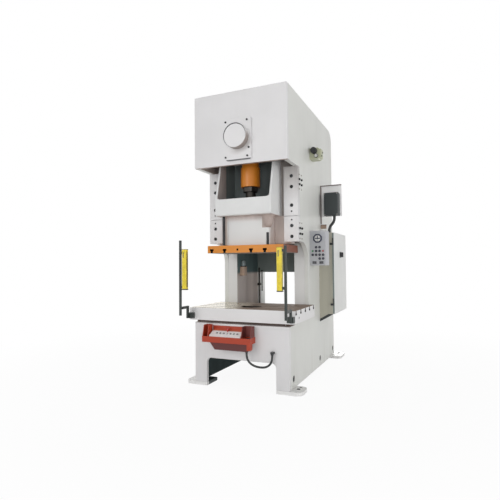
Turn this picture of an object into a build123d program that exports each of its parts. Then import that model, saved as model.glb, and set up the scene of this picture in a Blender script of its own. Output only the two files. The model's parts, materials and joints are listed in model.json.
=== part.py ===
"""Gap-frame power press: C-shaped plate frame, crank drive, slide, bolster and operator's controls."""

from build123d import *
import os

# Anchor pattern: its centre on the floor is the origin
anchor_spacing_x = 1160
rear_anchor_reach = 107
anchor_radius = 18
anchor_setback = 125
level_radius = 11
level_offset = 72

# Frame plates
frame_width = 1064
frame_height = 3100
frame_depth = 1893
side_thickness = 50
front_thickness = 40
rear_corner_radius = 150
base_height = 665
crown_height = 778
guide_length = 805
throat_depth = 700
throat_radius = 220
throat_arc_share = 0.95
lift_hole_radius = 33
lift_hole_height = 130
lift_hole_shares = (0.068, 0.612, 0.966)
foot_thickness = 35
foot_reach = 118
foot_corner_radius = 60
front_foot_length = 230
rear_foot_length = 300
rear_foot_margin = 80
arch_half_width = 390
arch_height = 295
arch_radius = 50
bed_thickness = 60
bed_rise = 25
column_inner = 363
column_wall = 30
column_rear = 1340
column_lip = 45
column_lip_thickness = 12
tie_bottom = 300
tie_thickness = 40
back_panel_bottom = 1174
back_panel_thickness = 12
cover_thickness = 20
cover_bottom = 1165
web_thickness = 40

# Ways for the slide
guide_front = 332
cap_thickness = 60
cap_inner = 373
lower_cap_length = 273
seam_gap = 4
way_thickness = 128
way_clearance = 0.1
cheek_inner = 437
upper_screw_shares = (0.216, 0.59, 0.805)
lower_screw_shares = (0.198, 0.623)
cap_screw_radius = 18
cap_screw_head = 24
cap_screw_sink = 4
cap_shank_radius = 12
cap_shank_length = 90
counterbore_clearance = 1.5
shank_clearance = 1

# Bolster and its slots
bolster_half_width = 595
bolster_front_reach = 10
bolster_rear_gap = 2
bolster_thickness = 130
slot_neck_width = 28
slot_neck_depth = 24
slot_head_width = 46
slot_head_depth = 20
bolster_slot_pitch = 158
bolster_slot_count = 5
ram_axis_depth = 300
drop_hole_radius = 115

# Slide
slide_half_width = 323
slide_front = 80
slide_rear = 570
slide_hang = 839
slide_height = 957
neck_height = 317
slide_wall = 22
slide_front_wall = 30
slide_corner_radius = 18
boss_offset = 240
boss_depth = 205
boss_radius = 66
boss_drop = 130
boss_round = 50
sill_height = 497
window_corner_radius = 34
cheek_lean = 122
floor_height = 407
cavity_rear_wall = 40
neck_half_width = 250
neck_front = 200
neck_corner_radius = 30
wing_half_width = 432
wing_foot = 17
wing_length = 900
die_plate_half_width = 440
die_plate_front = 115
die_plate_depth = 480
die_plate_thickness = 80
die_slot_pitch = 156
die_slot_shares = (-2.5, -1.5, 0.5, 1.5, 2.5)
eye_hole_share = -0.5
eye_hole_radius = 12
eye_hole_depth = 40
shank_radius = 25
ejector_spacing = 512
ejector_radius = 14
ejector_stub = 128
ejector_depth = 150

# Crank drive
crank_drop = 500
crank_throw = 90
journal_radius = 80
bush_wall = 30
bush_length = 100
boss_wall = 40
running_clearance = 0.05
crank_disc_radius = 190
crank_disc_thickness = 35
crank_disc_gap = 6
crank_pin_radius = 75
crank_pin_length = 196
rod_eye_radius = 128
rod_eye_width = 176
rod_radius = 95
rod_hang = 142
sleeve_radius = 106
sleeve_length = 212
rod_bore_depth = 150
screw_radius = 55
screw_ball_radius = 72
ball_lift = 35
seat_clearance = 0.3
lock_nut_across = 150
lock_nut_height = 52
nut_gap = 0.3
crank_front_gap = 4
crank_tail = 1300
flywheel_front = 1100
flywheel_width = 160
flywheel_radius = 420
flywheel_rim = 80
flywheel_hub_radius = 130
flywheel_hub_proud = 20
flywheel_web = 60
flange_width = 8
flange_height = 9
belt_thickness = 12
belt_clearance = 0.4
belt_side_gap = 4
belt_centres = 950
motor_radius = 130
motor_front = 830
motor_length = 265
motor_bell_length = 34
motor_bell_radius = 112
motor_foot_width = 200
motor_box_width = 120
motor_box_height = 60
motor_fin_count = 24
motor_fin_depth = 9
motor_fin_width = 7
motor_shaft_radius = 19
motor_shaft_hold = 60
pulley_radius = 85
shelf_thickness = 20

# Front bearing cap
cap_flange_width = 300
cap_flange_height = 440
cap_flange_drop = 17
cap_flange_thickness = 25
cap_flange_radius = 30
cap_disc_radius = 128
cap_disc_proud = 85
cap_disc_chamfer = 6

# Electrical cabinet on the right side
cabinet_front = 1170
cabinet_length = 716
cabinet_bottom = 667
cabinet_height = 993
cabinet_depth = 162
cabinet_wall = 6
door_gap = 1
door_thickness = 20
door_corner_radius = 8
hinge_setback = 10
hinge_radius = 8
hinge_pin_radius = 4
hinge_length = 60
hinge_ear_height = 24
hinge_ear_reach = 24
hinge_gap = 0.3
hinge_shares = (0.13, 0.87)
switch_depth_share = 0.507
switch_height_share = 0.73
switch_plate_size = 74
switch_plate_thickness = 5
switch_radius = 24
switch_proud = 34
switch_grip_width = 13
switch_grip_length = 62
switch_stem_radius = 6
hood_drop = 95
hood_length = 280

# Relay box on its bracket, with a hose down to the cabinet
relay_left = 598
relay_width = 174
relay_front = 1173
relay_depth = 120
relay_bottom = 1869
relay_height = 281
relay_radius = 10
bracket_thickness = 8
bracket_reach = 262
bracket_bottom = 1780
bracket_top = 2260
bracket_flange = 26
hose_radius = 17
hose_points = (
    (714, 1235, 1869), (714, 1235, 1823), (697, 1235, 1781),
    (665, 1235, 1748), (648, 1235, 1706), (648, 1235, 1660),
)

# Operator panel
panel_front = 760
panel_depth = 150
panel_width = 188
panel_bottom = 1260
panel_height = 395
panel_radius = 8
panel_bezel = 3
dial_height_share = 0.777
dial_radius = 54
dial_rim = 9
dial_thickness = 14
dial_floor = 5
pointer_length = 36
pointer_width = 9
pointer_thickness = 3
pointer_hub_radius = 9
pointer_pin_radius = 4
pointer_gap = 0.4
button_pitch_x = 40
button_pitch_z = 43
button_radius = 11
button_cap_radius = 8
button_ring = 4
button_proud = 12
button_gap = 0.4
button_travel = 5
button_top_share = 0.524
counter_width = 46
counter_height = 30
counter_proud = 5
counter_drop = 45

# Two-hand control on the base's front
tray_left = -371
tray_width = 542
tray_reach = 135
tray_drop = 180
tray_sheet = 6
tray_lip = 60
left_guard_width = 62
right_guard_width = 104
guard_height = 170
guard_front_margin = 8
guard_rear_margin = 20
guard_lean = 30
tray_ear_drop = 58
tray_ear_breadth = 38
tray_back_height = 155
tray_ear_width = 57
console_margin = 12
console_front_height = 68
console_rear_height = 124
console_inset = 16
console_button_shares = (0.2, 0.31, 0.42, 0.53, 0.64, 0.75, 0.86)
console_button_radius = 8
console_button_proud = 5
palm_radius = 22
palm_stem_radius = 10
palm_head = 16
palm_lift = 12
palm_travel = 6
palm_base_radius = 24
palm_base_height = 20
stop_radius = 18
stop_head = 13
stop_stem_radius = 8
stop_lift = 19
stop_share = 0.5
stop_setback = 40
under_left = -289
under_width = 419
under_height = 73
under_reach = 120
under_lean = 55

# Control cable from the tray's bracket to the base
cable_radius = 10.5
cable_points = (
    (108, -80, 400), (108, -80, 345), (142, -72, 291), (205, -62, 261),
    (290, -47, 257), (338, -41, 284), (364, -34, 329), (364, -34, 383),
)
gland_radius = 15
gland_length = 12
gland_box_height = 18
gland_box_width = 32

# Light curtain
post_offset = 576
post_front = 220
post_radius = 14
post_drop = 65
left_post_rise = 712
right_post_rise = 632
bar_offset = 520
bar_width = 52
bar_depth = 40
bar_rise = 200
bar_length = 420
bar_end_cap = 22
bar_lens_width = 20
bar_lens_depth = 3
bar_radius = 5
clamp_height = 26
clamp_margin = 14
clamp_shares = (0.08, 0.92)
stand_block_width = 64
stand_block_height = 56
stand_block_depth = 60
stand_block_drop = 82
stand_arm_thickness = 22
stand_arm_height = 26
stand_rise = 105

# Air regulator high on the right side, and the air line in the throat
regulator_front = 800
regulator_depth = 130
regulator_drop = 610
regulator_height = 130
regulator_reach = 112
regulator_chamfer = 14
knob_radius = 36
knob_length = 52
knob_flute_count = 12
knob_flute_radius = 4
knob_stem_radius = 12
knob_stem_length = 14
knob_gap = 0.4
line_radius = 9
line_offset = 47
line_setback = 60
valve_radius = 17
valve_height_share = 0.67
valve_length = 46
filter_setback = 485
filter_width = 60
filter_length = 75
filter_bottom = 1140
filter_height = 110

overrun = 5

half_width = frame_width / 2
inner_face = half_width - side_thickness
anchor_spacing_y = frame_depth + rear_anchor_reach - anchor_setback
front_y = -anchor_spacing_y / 2 - anchor_setback
crown_bottom = frame_height - crown_height
crank_height = frame_height - crank_drop
motor_height = crank_height - belt_centres
regulator_bottom = frame_height - regulator_drop
throat_top = crown_bottom - guide_length
cap_seam = throat_top + lower_cap_length
bed_top = base_height + bed_rise
table_top = bed_top + bolster_thickness
slide_bottom = crown_bottom - slide_hang
slide_top = slide_bottom + slide_height
slide_belly = slide_bottom + neck_height
window_sill = slide_bottom + sill_height
cavity_floor = slide_bottom + floor_height
wing_bottom = slide_bottom + wing_foot
wing_top = wing_bottom + wing_length
ball_height = cavity_floor + ball_lift
rod_bottom = window_sill + rod_hang
tray_bottom = base_height - tray_drop
guard_top = tray_bottom + guard_height
under_bottom = tray_bottom - under_height
post_bottom = table_top - post_drop
bar_bottom = table_top + bar_rise


def deep(distance):
    """The Y of a plane that lies this far behind the base's front face."""
    return front_y + distance


def block(x_low, x_high, y_low, y_high, z_low, z_high):
    """A box between two corners."""
    middle = Pos((x_low + x_high) / 2, (y_low + y_high) / 2, (z_low + z_high) / 2)
    return middle * Box(x_high - x_low, y_high - y_low, z_high - z_low)


def rod_x(y, z, x_low, x_high, radius):
    """A cylinder along X."""
    return Pos((x_low + x_high) / 2, y, z) * Rot(0, 90, 0) * Cylinder(radius, x_high - x_low)


def rod_y(x, z, y_low, y_high, radius):
    """A cylinder along Y."""
    return Pos(x, (y_low + y_high) / 2, z) * Rot(90, 0, 0) * Cylinder(radius, y_high - y_low)


def rod_z(x, y, z_low, z_high, radius):
    """A cylinder along Z."""
    return Pos(x, y, (z_low + z_high) / 2) * Cylinder(radius, z_high - z_low)


def outline(points, radii):
    """A closed outline whose corners have the given radii."""
    return make_face(FilletPolyline(*points, radius=radii, close=True).edges())


def slab_x(points, radii, x_low, x_high):
    """An outline in Y and Z, as thick as the two X values say."""
    return Pos(x_low, 0, 0) * extrude(Plane.YZ * outline(points, radii), x_high - x_low)


def slab_y(points, radii, y_low, y_high):
    """An outline in X and Z, as thick as the two Y values say."""
    return Pos(0, y_low, 0) * extrude(Plane.XZ * outline(points, radii), y_low - y_high)


def slab_z(points, radii, z_low, z_high):
    """An outline in X and Y, as thick as the two Z values say."""
    return Pos(0, 0, z_low) * extrude(Plane.XY * outline(points, radii), z_high - z_low)


def box_outline(a_low, a_high, b_low, b_high):
    """The four corners of a rectangle, anticlockwise from the low corner."""
    return [(a_low, b_low), (a_high, b_low), (a_high, b_high), (a_low, b_high)]


def other_side(shape):
    """The same piece for the left side."""
    return mirror(shape, about=Plane.YZ)


def save(node, *solids):
    """Write one node, a single solid or a group of them."""
    shape = solids[0] if len(solids) == 1 else Compound(children=list(solids))
    export_step(shape, f"parts/{node}.step")


def side_plate():
    """The right C-shaped plate: base, column and crown round the open throat."""
    cap_depth = guide_front + cap_thickness
    cap_rear = deep(cap_depth)
    throat_arc = min(throat_radius, throat_arc_share * (throat_depth - cap_depth))
    plate = slab_x(
        [
            (deep(front_thickness), foot_thickness),
            (deep(frame_depth), foot_thickness),
            (deep(frame_depth), frame_height),
            (deep(front_thickness), frame_height),
            (deep(front_thickness), crown_bottom),
            (cap_rear, crown_bottom),
            (cap_rear, throat_top),
            (deep(throat_depth), throat_top),
            (deep(throat_depth), base_height),
            (deep(front_thickness), base_height),
        ],
        [0, 0, rear_corner_radius, 0, 0, 0, 0, throat_arc, 0, 0],
        inner_face,
        half_width,
    )
    for share in lift_hole_shares:
        plate -= rod_x(
            deep(frame_depth * share),
            lift_hole_height,
            inner_face - overrun,
            half_width + overrun,
            lift_hole_radius,
        )
    return plate


def foot_plate(y_low, y_high, anchor_y):
    """A right foot with its anchor hole and levelling hole."""
    outer = half_width + foot_reach
    foot = slab_z(
        box_outline(arch_half_width, outer, y_low, y_high),
        [0, foot_corner_radius, foot_corner_radius, 0],
        0,
        foot_thickness,
    )
    foot -= rod_z(anchor_spacing_x / 2, anchor_y, -overrun, foot_thickness + overrun, anchor_radius)
    inward = -1 if anchor_y > 0 else 1
    level_y = anchor_y + inward * level_offset
    foot -= rod_z(anchor_spacing_x / 2, level_y, -overrun, foot_thickness + overrun, level_radius)
    return foot


def base_front_plate():
    """The front plate of the base, with the arch between its legs."""
    plate = block(-half_width, half_width, front_y, deep(front_thickness), foot_thickness, base_height)
    arch = slab_y(
        box_outline(-arch_half_width, arch_half_width, foot_thickness - overrun, arch_height),
        [0, 0, arch_radius, arch_radius],
        front_y - overrun,
        deep(front_thickness) + overrun,
    )
    return plate - arch


def bed_plate():
    """The thick plate that carries the bolster and the columns."""
    bottom = bed_top - bed_thickness
    plate = block(-inner_face, inner_face, deep(front_thickness), deep(column_rear), bottom, bed_top)
    return plate - rod_z(0, deep(ram_axis_depth), bottom - overrun, bed_top + overrun, drop_hole_radius)


def column():
    """The right column's inner box: front wall and inner wall of one plate, with a lip at the back."""
    front = deep(throat_depth)
    walls = slab_z(
        [
            (column_inner, front),
            (inner_face, front),
            (inner_face, front + column_wall),
            (column_inner + column_wall, front + column_wall),
            (column_inner + column_wall, deep(column_rear)),
            (column_inner, deep(column_rear)),
        ],
        [0] * 6,
        bed_top,
        crown_bottom,
    )
    lip_front = deep(column_rear - column_lip_thickness)
    return walls + block(
        column_inner - column_lip, column_inner, lip_front, deep(column_rear), bed_top, back_panel_bottom
    )


def crown_front_plate():
    """The crown's front, with a boss behind it for the front crank bush."""
    bore = journal_radius + running_clearance + bush_wall
    plate = block(-half_width, half_width, front_y, deep(front_thickness), crown_bottom, frame_height)
    plate += rod_y(0, crank_height, deep(front_thickness), deep(bush_length), bore + boss_wall)
    return plate - rod_y(0, crank_height, front_y - overrun, deep(bush_length) + overrun, bore)


def crown_cover():
    """The bent sheet over the crown's top and down its back."""
    rear = deep(frame_depth)
    shell = slab_x(
        [
            (deep(front_thickness), frame_height - cover_thickness),
            (rear - cover_thickness, frame_height - cover_thickness),
            (rear - cover_thickness, cover_bottom),
            (rear, cover_bottom),
            (rear, frame_height),
            (deep(front_thickness), frame_height),
        ],
        [0, rear_corner_radius - cover_thickness, 0, 0, rear_corner_radius, 0],
        -inner_face,
        inner_face,
    )
    return shell


def crown_web():
    """The cross plate behind the slide, with the rear crank bearing's boss."""
    bore = journal_radius + running_clearance + bush_wall
    front = deep(throat_depth)
    rear = front + bush_length
    plate = block(
        -inner_face, inner_face, front, front + web_thickness, crown_bottom, frame_height - cover_thickness
    )
    plate += rod_y(0, crank_height, front + web_thickness, rear, bore + boss_wall)
    return plate - rod_y(0, crank_height, front - overrun, rear + overrun, bore)


def guide_block():
    """The right way: a cheek beside the slide's wing and a bearing face behind it."""
    way_front = deep(guide_front + cap_thickness)
    way_rear = way_front + way_thickness
    return slab_z(
        [
            (cheek_inner, way_front),
            (inner_face, way_front),
            (inner_face, deep(throat_depth)),
            (cap_inner, deep(throat_depth)),
            (cap_inner, way_rear),
            (cheek_inner, way_rear),
        ],
        [0] * 6,
        throat_top,
        crown_bottom,
    )


def cap_screw_places():
    """The X of the gib cap screws and the heights of each cap's screws."""
    x = (cheek_inner + inner_face) / 2
    lower_length = cap_seam - throat_top
    upper_length = crown_bottom - cap_seam
    lower = [throat_top + share * lower_length for share in lower_screw_shares]
    upper = [cap_seam + share * upper_length for share in upper_screw_shares]
    return x, lower, upper


def gib_cap(z_low, z_high, heights):
    """One right cap in front of the way, with counterbored holes for its screws."""
    x = cap_screw_places()[0]
    front = deep(guide_front)
    seat = front + cap_screw_sink + cap_screw_head
    cap = block(cap_inner, half_width, front, front + cap_thickness, z_low, z_high)
    for z in heights:
        cap -= rod_y(x, z, front - overrun, seat, cap_screw_radius + counterbore_clearance)
        cap -= rod_y(x, z, seat, front + cap_thickness + overrun, cap_shank_radius + shank_clearance)
    return cap


def cap_screws():
    """The socket screws of the right caps, their heads seated in the counterbores."""
    x, lower, upper = cap_screw_places()
    front = deep(guide_front)
    seat = front + cap_screw_sink + cap_screw_head
    screws = []
    for z in lower + upper:
        head = rod_y(x, z, seat - cap_screw_head, seat, cap_screw_radius)
        screws.append(head + rod_y(x, z, seat, front + cap_thickness, cap_shank_radius))
    return screws


def t_slot_x(y, top):
    """A T-slot along X that opens upwards at the given height."""
    reach = bolster_half_width + overrun
    neck_bottom = top - slot_neck_depth
    neck = block(-reach, reach, y - slot_neck_width / 2, y + slot_neck_width / 2, neck_bottom, top + overrun)
    head = block(
        -reach,
        reach,
        y - slot_head_width / 2,
        y + slot_head_width / 2,
        neck_bottom - slot_head_depth,
        neck_bottom,
    )
    return neck + head


def bolster():
    """The T-slotted table plate with its drop hole."""
    front = deep(-bolster_front_reach)
    rear = deep(throat_depth - bolster_rear_gap)
    middle = (front + rear) / 2
    plate = block(-bolster_half_width, bolster_half_width, front, rear, bed_top, table_top)
    for index in range(bolster_slot_count):
        offset = index - (bolster_slot_count - 1) / 2
        plate -= t_slot_x(middle + offset * bolster_slot_pitch, table_top)
    return plate - rod_z(0, deep(ram_axis_depth), bed_top - overrun, table_top + overrun, drop_hole_radius)


def slide_body():
    """The slide casting: hollow box with a window, neck, and the wings that run in the ways."""
    front = deep(slide_front)
    rear = deep(slide_rear)
    way_front = deep(guide_front + cap_thickness)
    shell = slab_x(
        [
            (front, slide_belly),
            (rear, slide_belly),
            (rear, slide_top),
            (front + cheek_lean, slide_top),
            (front, window_sill),
        ],
        [slide_corner_radius, 0, 0, 0, 0],
        -slide_half_width,
        slide_half_width,
    )
    neck = slab_z(
        box_outline(-neck_half_width, neck_half_width, deep(neck_front), rear),
        [neck_corner_radius, neck_corner_radius, 0, 0],
        slide_bottom,
        slide_belly,
    )
    wings = block(
        -wing_half_width,
        wing_half_width,
        way_front + way_clearance,
        way_front + way_thickness - way_clearance,
        wing_bottom,
        wing_top,
    )
    inside = slide_half_width - slide_wall
    window = slab_y(
        box_outline(-inside, inside, window_sill, slide_top + overrun),
        [window_corner_radius, window_corner_radius, 0, 0],
        front - overrun,
        rear - cavity_rear_wall,
    )
    cavity = block(
        -inside,
        inside,
        front + slide_front_wall,
        rear - cavity_rear_wall,
        cavity_floor,
        window_sill + window_corner_radius,
    )
    seat = Pos(0, deep(ram_axis_depth), ball_height) * Sphere(screw_ball_radius + seat_clearance)
    boss_foot = slide_belly - boss_drop
    boss = rod_z(boss_offset, deep(boss_depth), boss_foot, slide_belly + slide_wall, boss_radius)
    boss = fillet(boss.edges().filter_by(GeomType.CIRCLE).sort_by(Axis.Z)[0], boss_round)
    return shell + neck + wings + boss - window - cavity - seat


def die_plate():
    """The slide's face plate with T-slots along Y and a shank hole."""
    front = deep(die_plate_front)
    rear = front + die_plate_depth
    bottom = slide_bottom - die_plate_thickness
    plate = block(-die_plate_half_width, die_plate_half_width, front, rear, bottom, slide_bottom)
    for share in die_slot_shares:
        x = share * die_slot_pitch
        neck_top = bottom + slot_neck_depth
        plate -= block(
            x - slot_neck_width / 2, x + slot_neck_width / 2, front - overrun, rear + overrun, bottom - overrun, neck_top
        )
        plate -= block(
            x - slot_head_width / 2,
            x + slot_head_width / 2,
            front - overrun,
            rear + overrun,
            neck_top,
            neck_top + slot_head_depth,
        )
    eye_z = bottom + slot_neck_depth + slot_head_depth / 2
    plate -= rod_y(eye_hole_share * die_slot_pitch, eye_z, front - overrun, front + eye_hole_depth, eye_hole_radius)
    return plate - rod_z(0, deep(ram_axis_depth), bottom - overrun, slide_bottom + overrun, shank_radius)


def ejector_rods():
    """The rod from the die plate to the belly of the slide, and the short one under its boss."""
    rods = []
    for side, top in ((-1, slide_belly), (1, slide_bottom + ejector_stub)):
        rods.append(rod_z(side * ejector_spacing / 2, deep(ejector_depth), slide_bottom, top, ejector_radius))
    return rods


def connecting_rod():
    """The rod: an eye round the crank pin, a round shank and a sleeve bored for the adjusting screw."""
    y = deep(ram_axis_depth)
    pin_z = crank_height + crank_throw
    rod = rod_y(0, pin_z, y - rod_eye_width / 2, y + rod_eye_width / 2, rod_eye_radius)
    shank = rod_z(0, y, rod_bottom, pin_z, rod_radius)
    trimmed = shank & block(
        -rod_radius, rod_radius, y - rod_eye_width / 2, y + rod_eye_width / 2, crank_height, pin_z
    )
    lower = rod_z(0, y, rod_bottom, crank_height - rod_eye_radius, rod_radius)
    taper = shank & block(
        -rod_radius, rod_radius, y - rod_eye_width / 2, y + rod_eye_width / 2, rod_bottom, crank_height
    )
    rod += trimmed + lower + taper
    rod += rod_z(0, y, rod_bottom, rod_bottom + sleeve_length, sleeve_radius)
    rod -= rod_y(0, pin_z, y - rod_eye_width, y + rod_eye_width, crank_pin_radius + running_clearance)
    return rod - rod_z(0, y, rod_bottom - overrun, rod_bottom + rod_bore_depth, screw_radius + running_clearance)


def adjusting_screw():
    """The screw with its ball end in the slide's seat."""
    y = deep(ram_axis_depth)
    screw = rod_z(0, y, ball_height, rod_bottom + rod_bore_depth, screw_radius)
    return screw + Pos(0, y, ball_height) * Sphere(screw_ball_radius)


def lock_nut():
    """The hexagon nut that locks the screw under the rod."""
    y = deep(ram_axis_depth)
    top = rod_bottom - nut_gap
    nut = extrude(RegularPolygon(lock_nut_across / 2, 6, major_radius=False), lock_nut_height)
    nut = Pos(0, y, top - lock_nut_height) * nut
    return nut - rod_z(0, y, top - lock_nut_height - overrun, top + overrun, screw_radius + running_clearance)


def crank_pin():
    """The pin in the rod's eye, just clear of the crank discs."""
    y = deep(ram_axis_depth)
    return rod_y(
        0, crank_height + crank_throw, y - crank_pin_length / 2, y + crank_pin_length / 2, crank_pin_radius
    )


def crankshaft():
    """The two halves of the shaft: a disc and a journal on each side of the pin."""
    y = deep(ram_axis_depth)
    near = y - crank_pin_length / 2 - crank_disc_gap
    far = y + crank_pin_length / 2 + crank_disc_gap
    front_half = rod_y(0, crank_height, near - crank_disc_thickness, near, crank_disc_radius)
    front_half += rod_y(0, crank_height, deep(crank_front_gap), near - crank_disc_thickness, journal_radius)
    rear_half = rod_y(0, crank_height, far, far + crank_disc_thickness, crank_disc_radius)
    rear_half += rod_y(0, crank_height, far + crank_disc_thickness, deep(crank_tail), journal_radius)
    return front_half, rear_half


def crank_bush(front):
    """A plain bush round a journal."""
    inner = journal_radius + running_clearance
    bush = rod_y(0, crank_height, front, front + bush_length, inner + bush_wall)
    return bush - rod_y(0, crank_height, front - overrun, front + bush_length + overrun, inner)


def turned_y(points, z):
    """A profile of radius and Y values, turned about an axis along Y."""
    profile = Plane.XY * make_face(Polyline(*points, close=True).edges())
    return Pos(0, 0, z) * revolve(profile, Axis.Y)


def flywheel():
    """The flanged belt wheel that runs on the crank's tail."""
    front = deep(flywheel_front)
    rear = front + flywheel_width
    middle = (front + rear) / 2
    inner = journal_radius + running_clearance
    rim_inner = flywheel_radius - flywheel_rim
    flange = flywheel_radius + flange_height
    hub_front = front - flywheel_hub_proud
    hub_rear = rear + flywheel_hub_proud
    return turned_y(
        [
            (inner, hub_front),
            (flywheel_hub_radius, hub_front),
            (flywheel_hub_radius, middle - flywheel_web / 2),
            (rim_inner, middle - flywheel_web / 2),
            (rim_inner, front),
            (flange, front),
            (flange, front + flange_width),
            (flywheel_radius, front + flange_width),
            (flywheel_radius, rear - flange_width),
            (flange, rear - flange_width),
            (flange, rear),
            (rim_inner, rear),
            (rim_inner, middle + flywheel_web / 2),
            (flywheel_hub_radius, middle + flywheel_web / 2),
            (flywheel_hub_radius, hub_rear),
            (inner, hub_rear),
        ],
        crank_height,
    )


def belt_loop(extra):
    """The outline round both wheels, this much larger than their rims."""
    wheel = Pos(0, crank_height) * Circle(flywheel_radius + extra)
    pulley = Pos(0, motor_height) * Circle(pulley_radius + extra)
    return make_hull(wheel.edges() + pulley.edges())


def drive_belt():
    """The ribbed belt from the motor pulley to the flywheel."""
    front = deep(flywheel_front + flange_width + belt_side_gap)
    width = flywheel_width - 2 * (flange_width + belt_side_gap)
    loop = belt_loop(belt_clearance + belt_thickness) - belt_loop(belt_clearance)
    return Pos(0, front, 0) * extrude(Plane.XZ * loop, -width)


def motor():
    """The finned motor with its feet, terminal box and shaft bore."""
    front = deep(motor_front)
    rear = front + motor_length
    shelf_top = motor_height - motor_radius
    body = rod_y(0, motor_height, front + motor_bell_length, rear - motor_bell_length, motor_radius)
    for index in range(motor_fin_count):
        groove = block(
            -motor_fin_width / 2,
            motor_fin_width / 2,
            front - overrun,
            rear + overrun,
            motor_radius - motor_fin_depth,
            motor_radius + overrun,
        )
        body -= Pos(0, 0, motor_height) * Rot(0, 360 / motor_fin_count * (index + 0.5), 0) * groove
    body += rod_y(0, motor_height, front, rear, motor_bell_radius)
    body += block(
        -motor_foot_width / 2,
        motor_foot_width / 2,
        front + motor_bell_length,
        rear - motor_bell_length,
        shelf_top,
        motor_height - motor_bell_radius,
    )
    body += block(
        -motor_box_width / 2,
        motor_box_width / 2,
        front + motor_bell_length * 2,
        rear - motor_bell_length * 2,
        motor_height + motor_bell_radius,
        motor_height + motor_radius + motor_box_height,
    )
    bore = motor_shaft_radius + running_clearance
    return body - rod_y(0, motor_height, rear - motor_shaft_hold, rear + overrun, bore)


def motor_pulley():
    """The flanged pulley on the motor's shaft."""
    front = deep(flywheel_front)
    rear = front + flywheel_width
    shaft_front = deep(motor_front + motor_length - motor_shaft_hold)
    flange = pulley_radius + flange_height
    return turned_y(
        [
            (0, shaft_front),
            (motor_shaft_radius, shaft_front),
            (motor_shaft_radius, front),
            (flange, front),
            (flange, front + flange_width),
            (pulley_radius, front + flange_width),
            (pulley_radius, rear - flange_width),
            (flange, rear - flange_width),
            (flange, rear),
            (0, rear),
        ],
        motor_height,
    )


def motor_shelf():
    """The plate between the columns that the motor stands on."""
    top = motor_height - motor_radius
    return block(
        -column_inner,
        column_inner,
        deep(throat_depth + column_wall),
        deep(column_rear),
        top - shelf_thickness,
        top,
    )


def bearing_cap():
    """The front bearing cap: a rounded flange with a turned drum on it."""
    half_height = cap_flange_height / 2
    middle = crank_height - cap_flange_drop
    flange = slab_y(
        box_outline(
            -cap_flange_width / 2, cap_flange_width / 2, middle - half_height, middle + half_height
        ),
        [cap_flange_radius] * 4,
        deep(-cap_flange_thickness),
        front_y,
    )
    face = deep(-cap_flange_thickness - cap_disc_proud)
    drum = rod_y(0, crank_height, face, deep(-cap_flange_thickness), cap_disc_radius)
    front_edge = drum.edges().filter_by(GeomType.CIRCLE).sort_by(Axis.Y)[0]
    return flange + chamfer(front_edge, cap_disc_chamfer)


def cabinet_sides():
    """The X of the cabinet's open face, of its door's inside and of its door's face."""
    open_face = half_width + cabinet_depth
    return open_face, open_face + door_gap, open_face + door_gap + door_thickness


def hinge_place():
    """The X and Y of the door's hinge axis."""
    _, inside, outside = cabinet_sides()
    return (inside + outside) / 2, deep(cabinet_front - hinge_setback)


def cabinet_body():
    """The folded case, open towards its door, with the fixed ears and pins of the hinges."""
    open_face = cabinet_sides()[0]
    front = deep(cabinet_front)
    rear = front + cabinet_length
    top = cabinet_bottom + cabinet_height
    case = block(half_width, open_face, front, rear, cabinet_bottom, top)
    case -= block(
        half_width + cabinet_wall,
        open_face + overrun,
        front + cabinet_wall,
        rear - cabinet_wall,
        cabinet_bottom + cabinet_wall,
        top - cabinet_wall,
    )
    hinge_x, hinge_y = hinge_place()
    for share in hinge_shares:
        z = cabinet_bottom + share * cabinet_height
        low = z - hinge_ear_height
        near = hinge_y - hinge_radius
        case += block(open_face - hinge_ear_reach, open_face, near, front, low, z)
        case += block(open_face, hinge_x, near, hinge_y + hinge_radius, low, z)
        case += rod_z(hinge_x, hinge_y, low, z, hinge_radius)
        case += rod_z(hinge_x, hinge_y, z, z + hinge_length, hinge_pin_radius)
    return case


def cabinet_door():
    """The door with its hinge knuckles and the main switch's plate."""
    _, inside, outside = cabinet_sides()
    front = deep(cabinet_front)
    rear = front + cabinet_length
    top = cabinet_bottom + cabinet_height
    door = slab_x(
        box_outline(front, rear, cabinet_bottom, top), [door_corner_radius] * 4, inside, outside
    )
    hinge_x, hinge_y = hinge_place()
    for share in hinge_shares:
        z = cabinet_bottom + share * cabinet_height + hinge_gap
        knuckle = rod_z(hinge_x, hinge_y, z, z + hinge_length, hinge_radius)
        knuckle += block(
            hinge_x - hinge_pin_radius, hinge_x + hinge_pin_radius, hinge_y, front, z, z + hinge_length
        )
        door += knuckle - rod_z(
            hinge_x, hinge_y, z - overrun, z + hinge_length + overrun, hinge_pin_radius + running_clearance
        )
    switch_y, switch_z = switch_place()
    half_plate = switch_plate_size / 2
    door += block(
        outside,
        outside + switch_plate_thickness,
        switch_y - half_plate,
        switch_y + half_plate,
        switch_z - half_plate,
        switch_z + half_plate,
    )
    stem_hole = switch_stem_radius + running_clearance
    return door - rod_x(switch_y, switch_z, inside - overrun, outside + switch_plate_thickness + overrun, stem_hole)


def switch_place():
    """The Y and Z of the main switch's axis on the door."""
    y = deep(cabinet_front) + switch_depth_share * cabinet_length
    return y, cabinet_bottom + switch_height_share * cabinet_height


def main_switch():
    """The turning handle of the main switch, with its stem in the door."""
    _, inside, outside = cabinet_sides()
    y, z = switch_place()
    face = outside + switch_plate_thickness + hinge_gap
    handle = rod_x(y, z, face, face + switch_proud / 2, switch_radius)
    handle += block(
        face,
        face + switch_proud,
        y - switch_grip_width / 2,
        y + switch_grip_width / 2,
        z - switch_grip_length / 2,
        z + switch_grip_length / 2,
    )
    return handle + rod_x(y, z, inside, face, switch_stem_radius)


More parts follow.
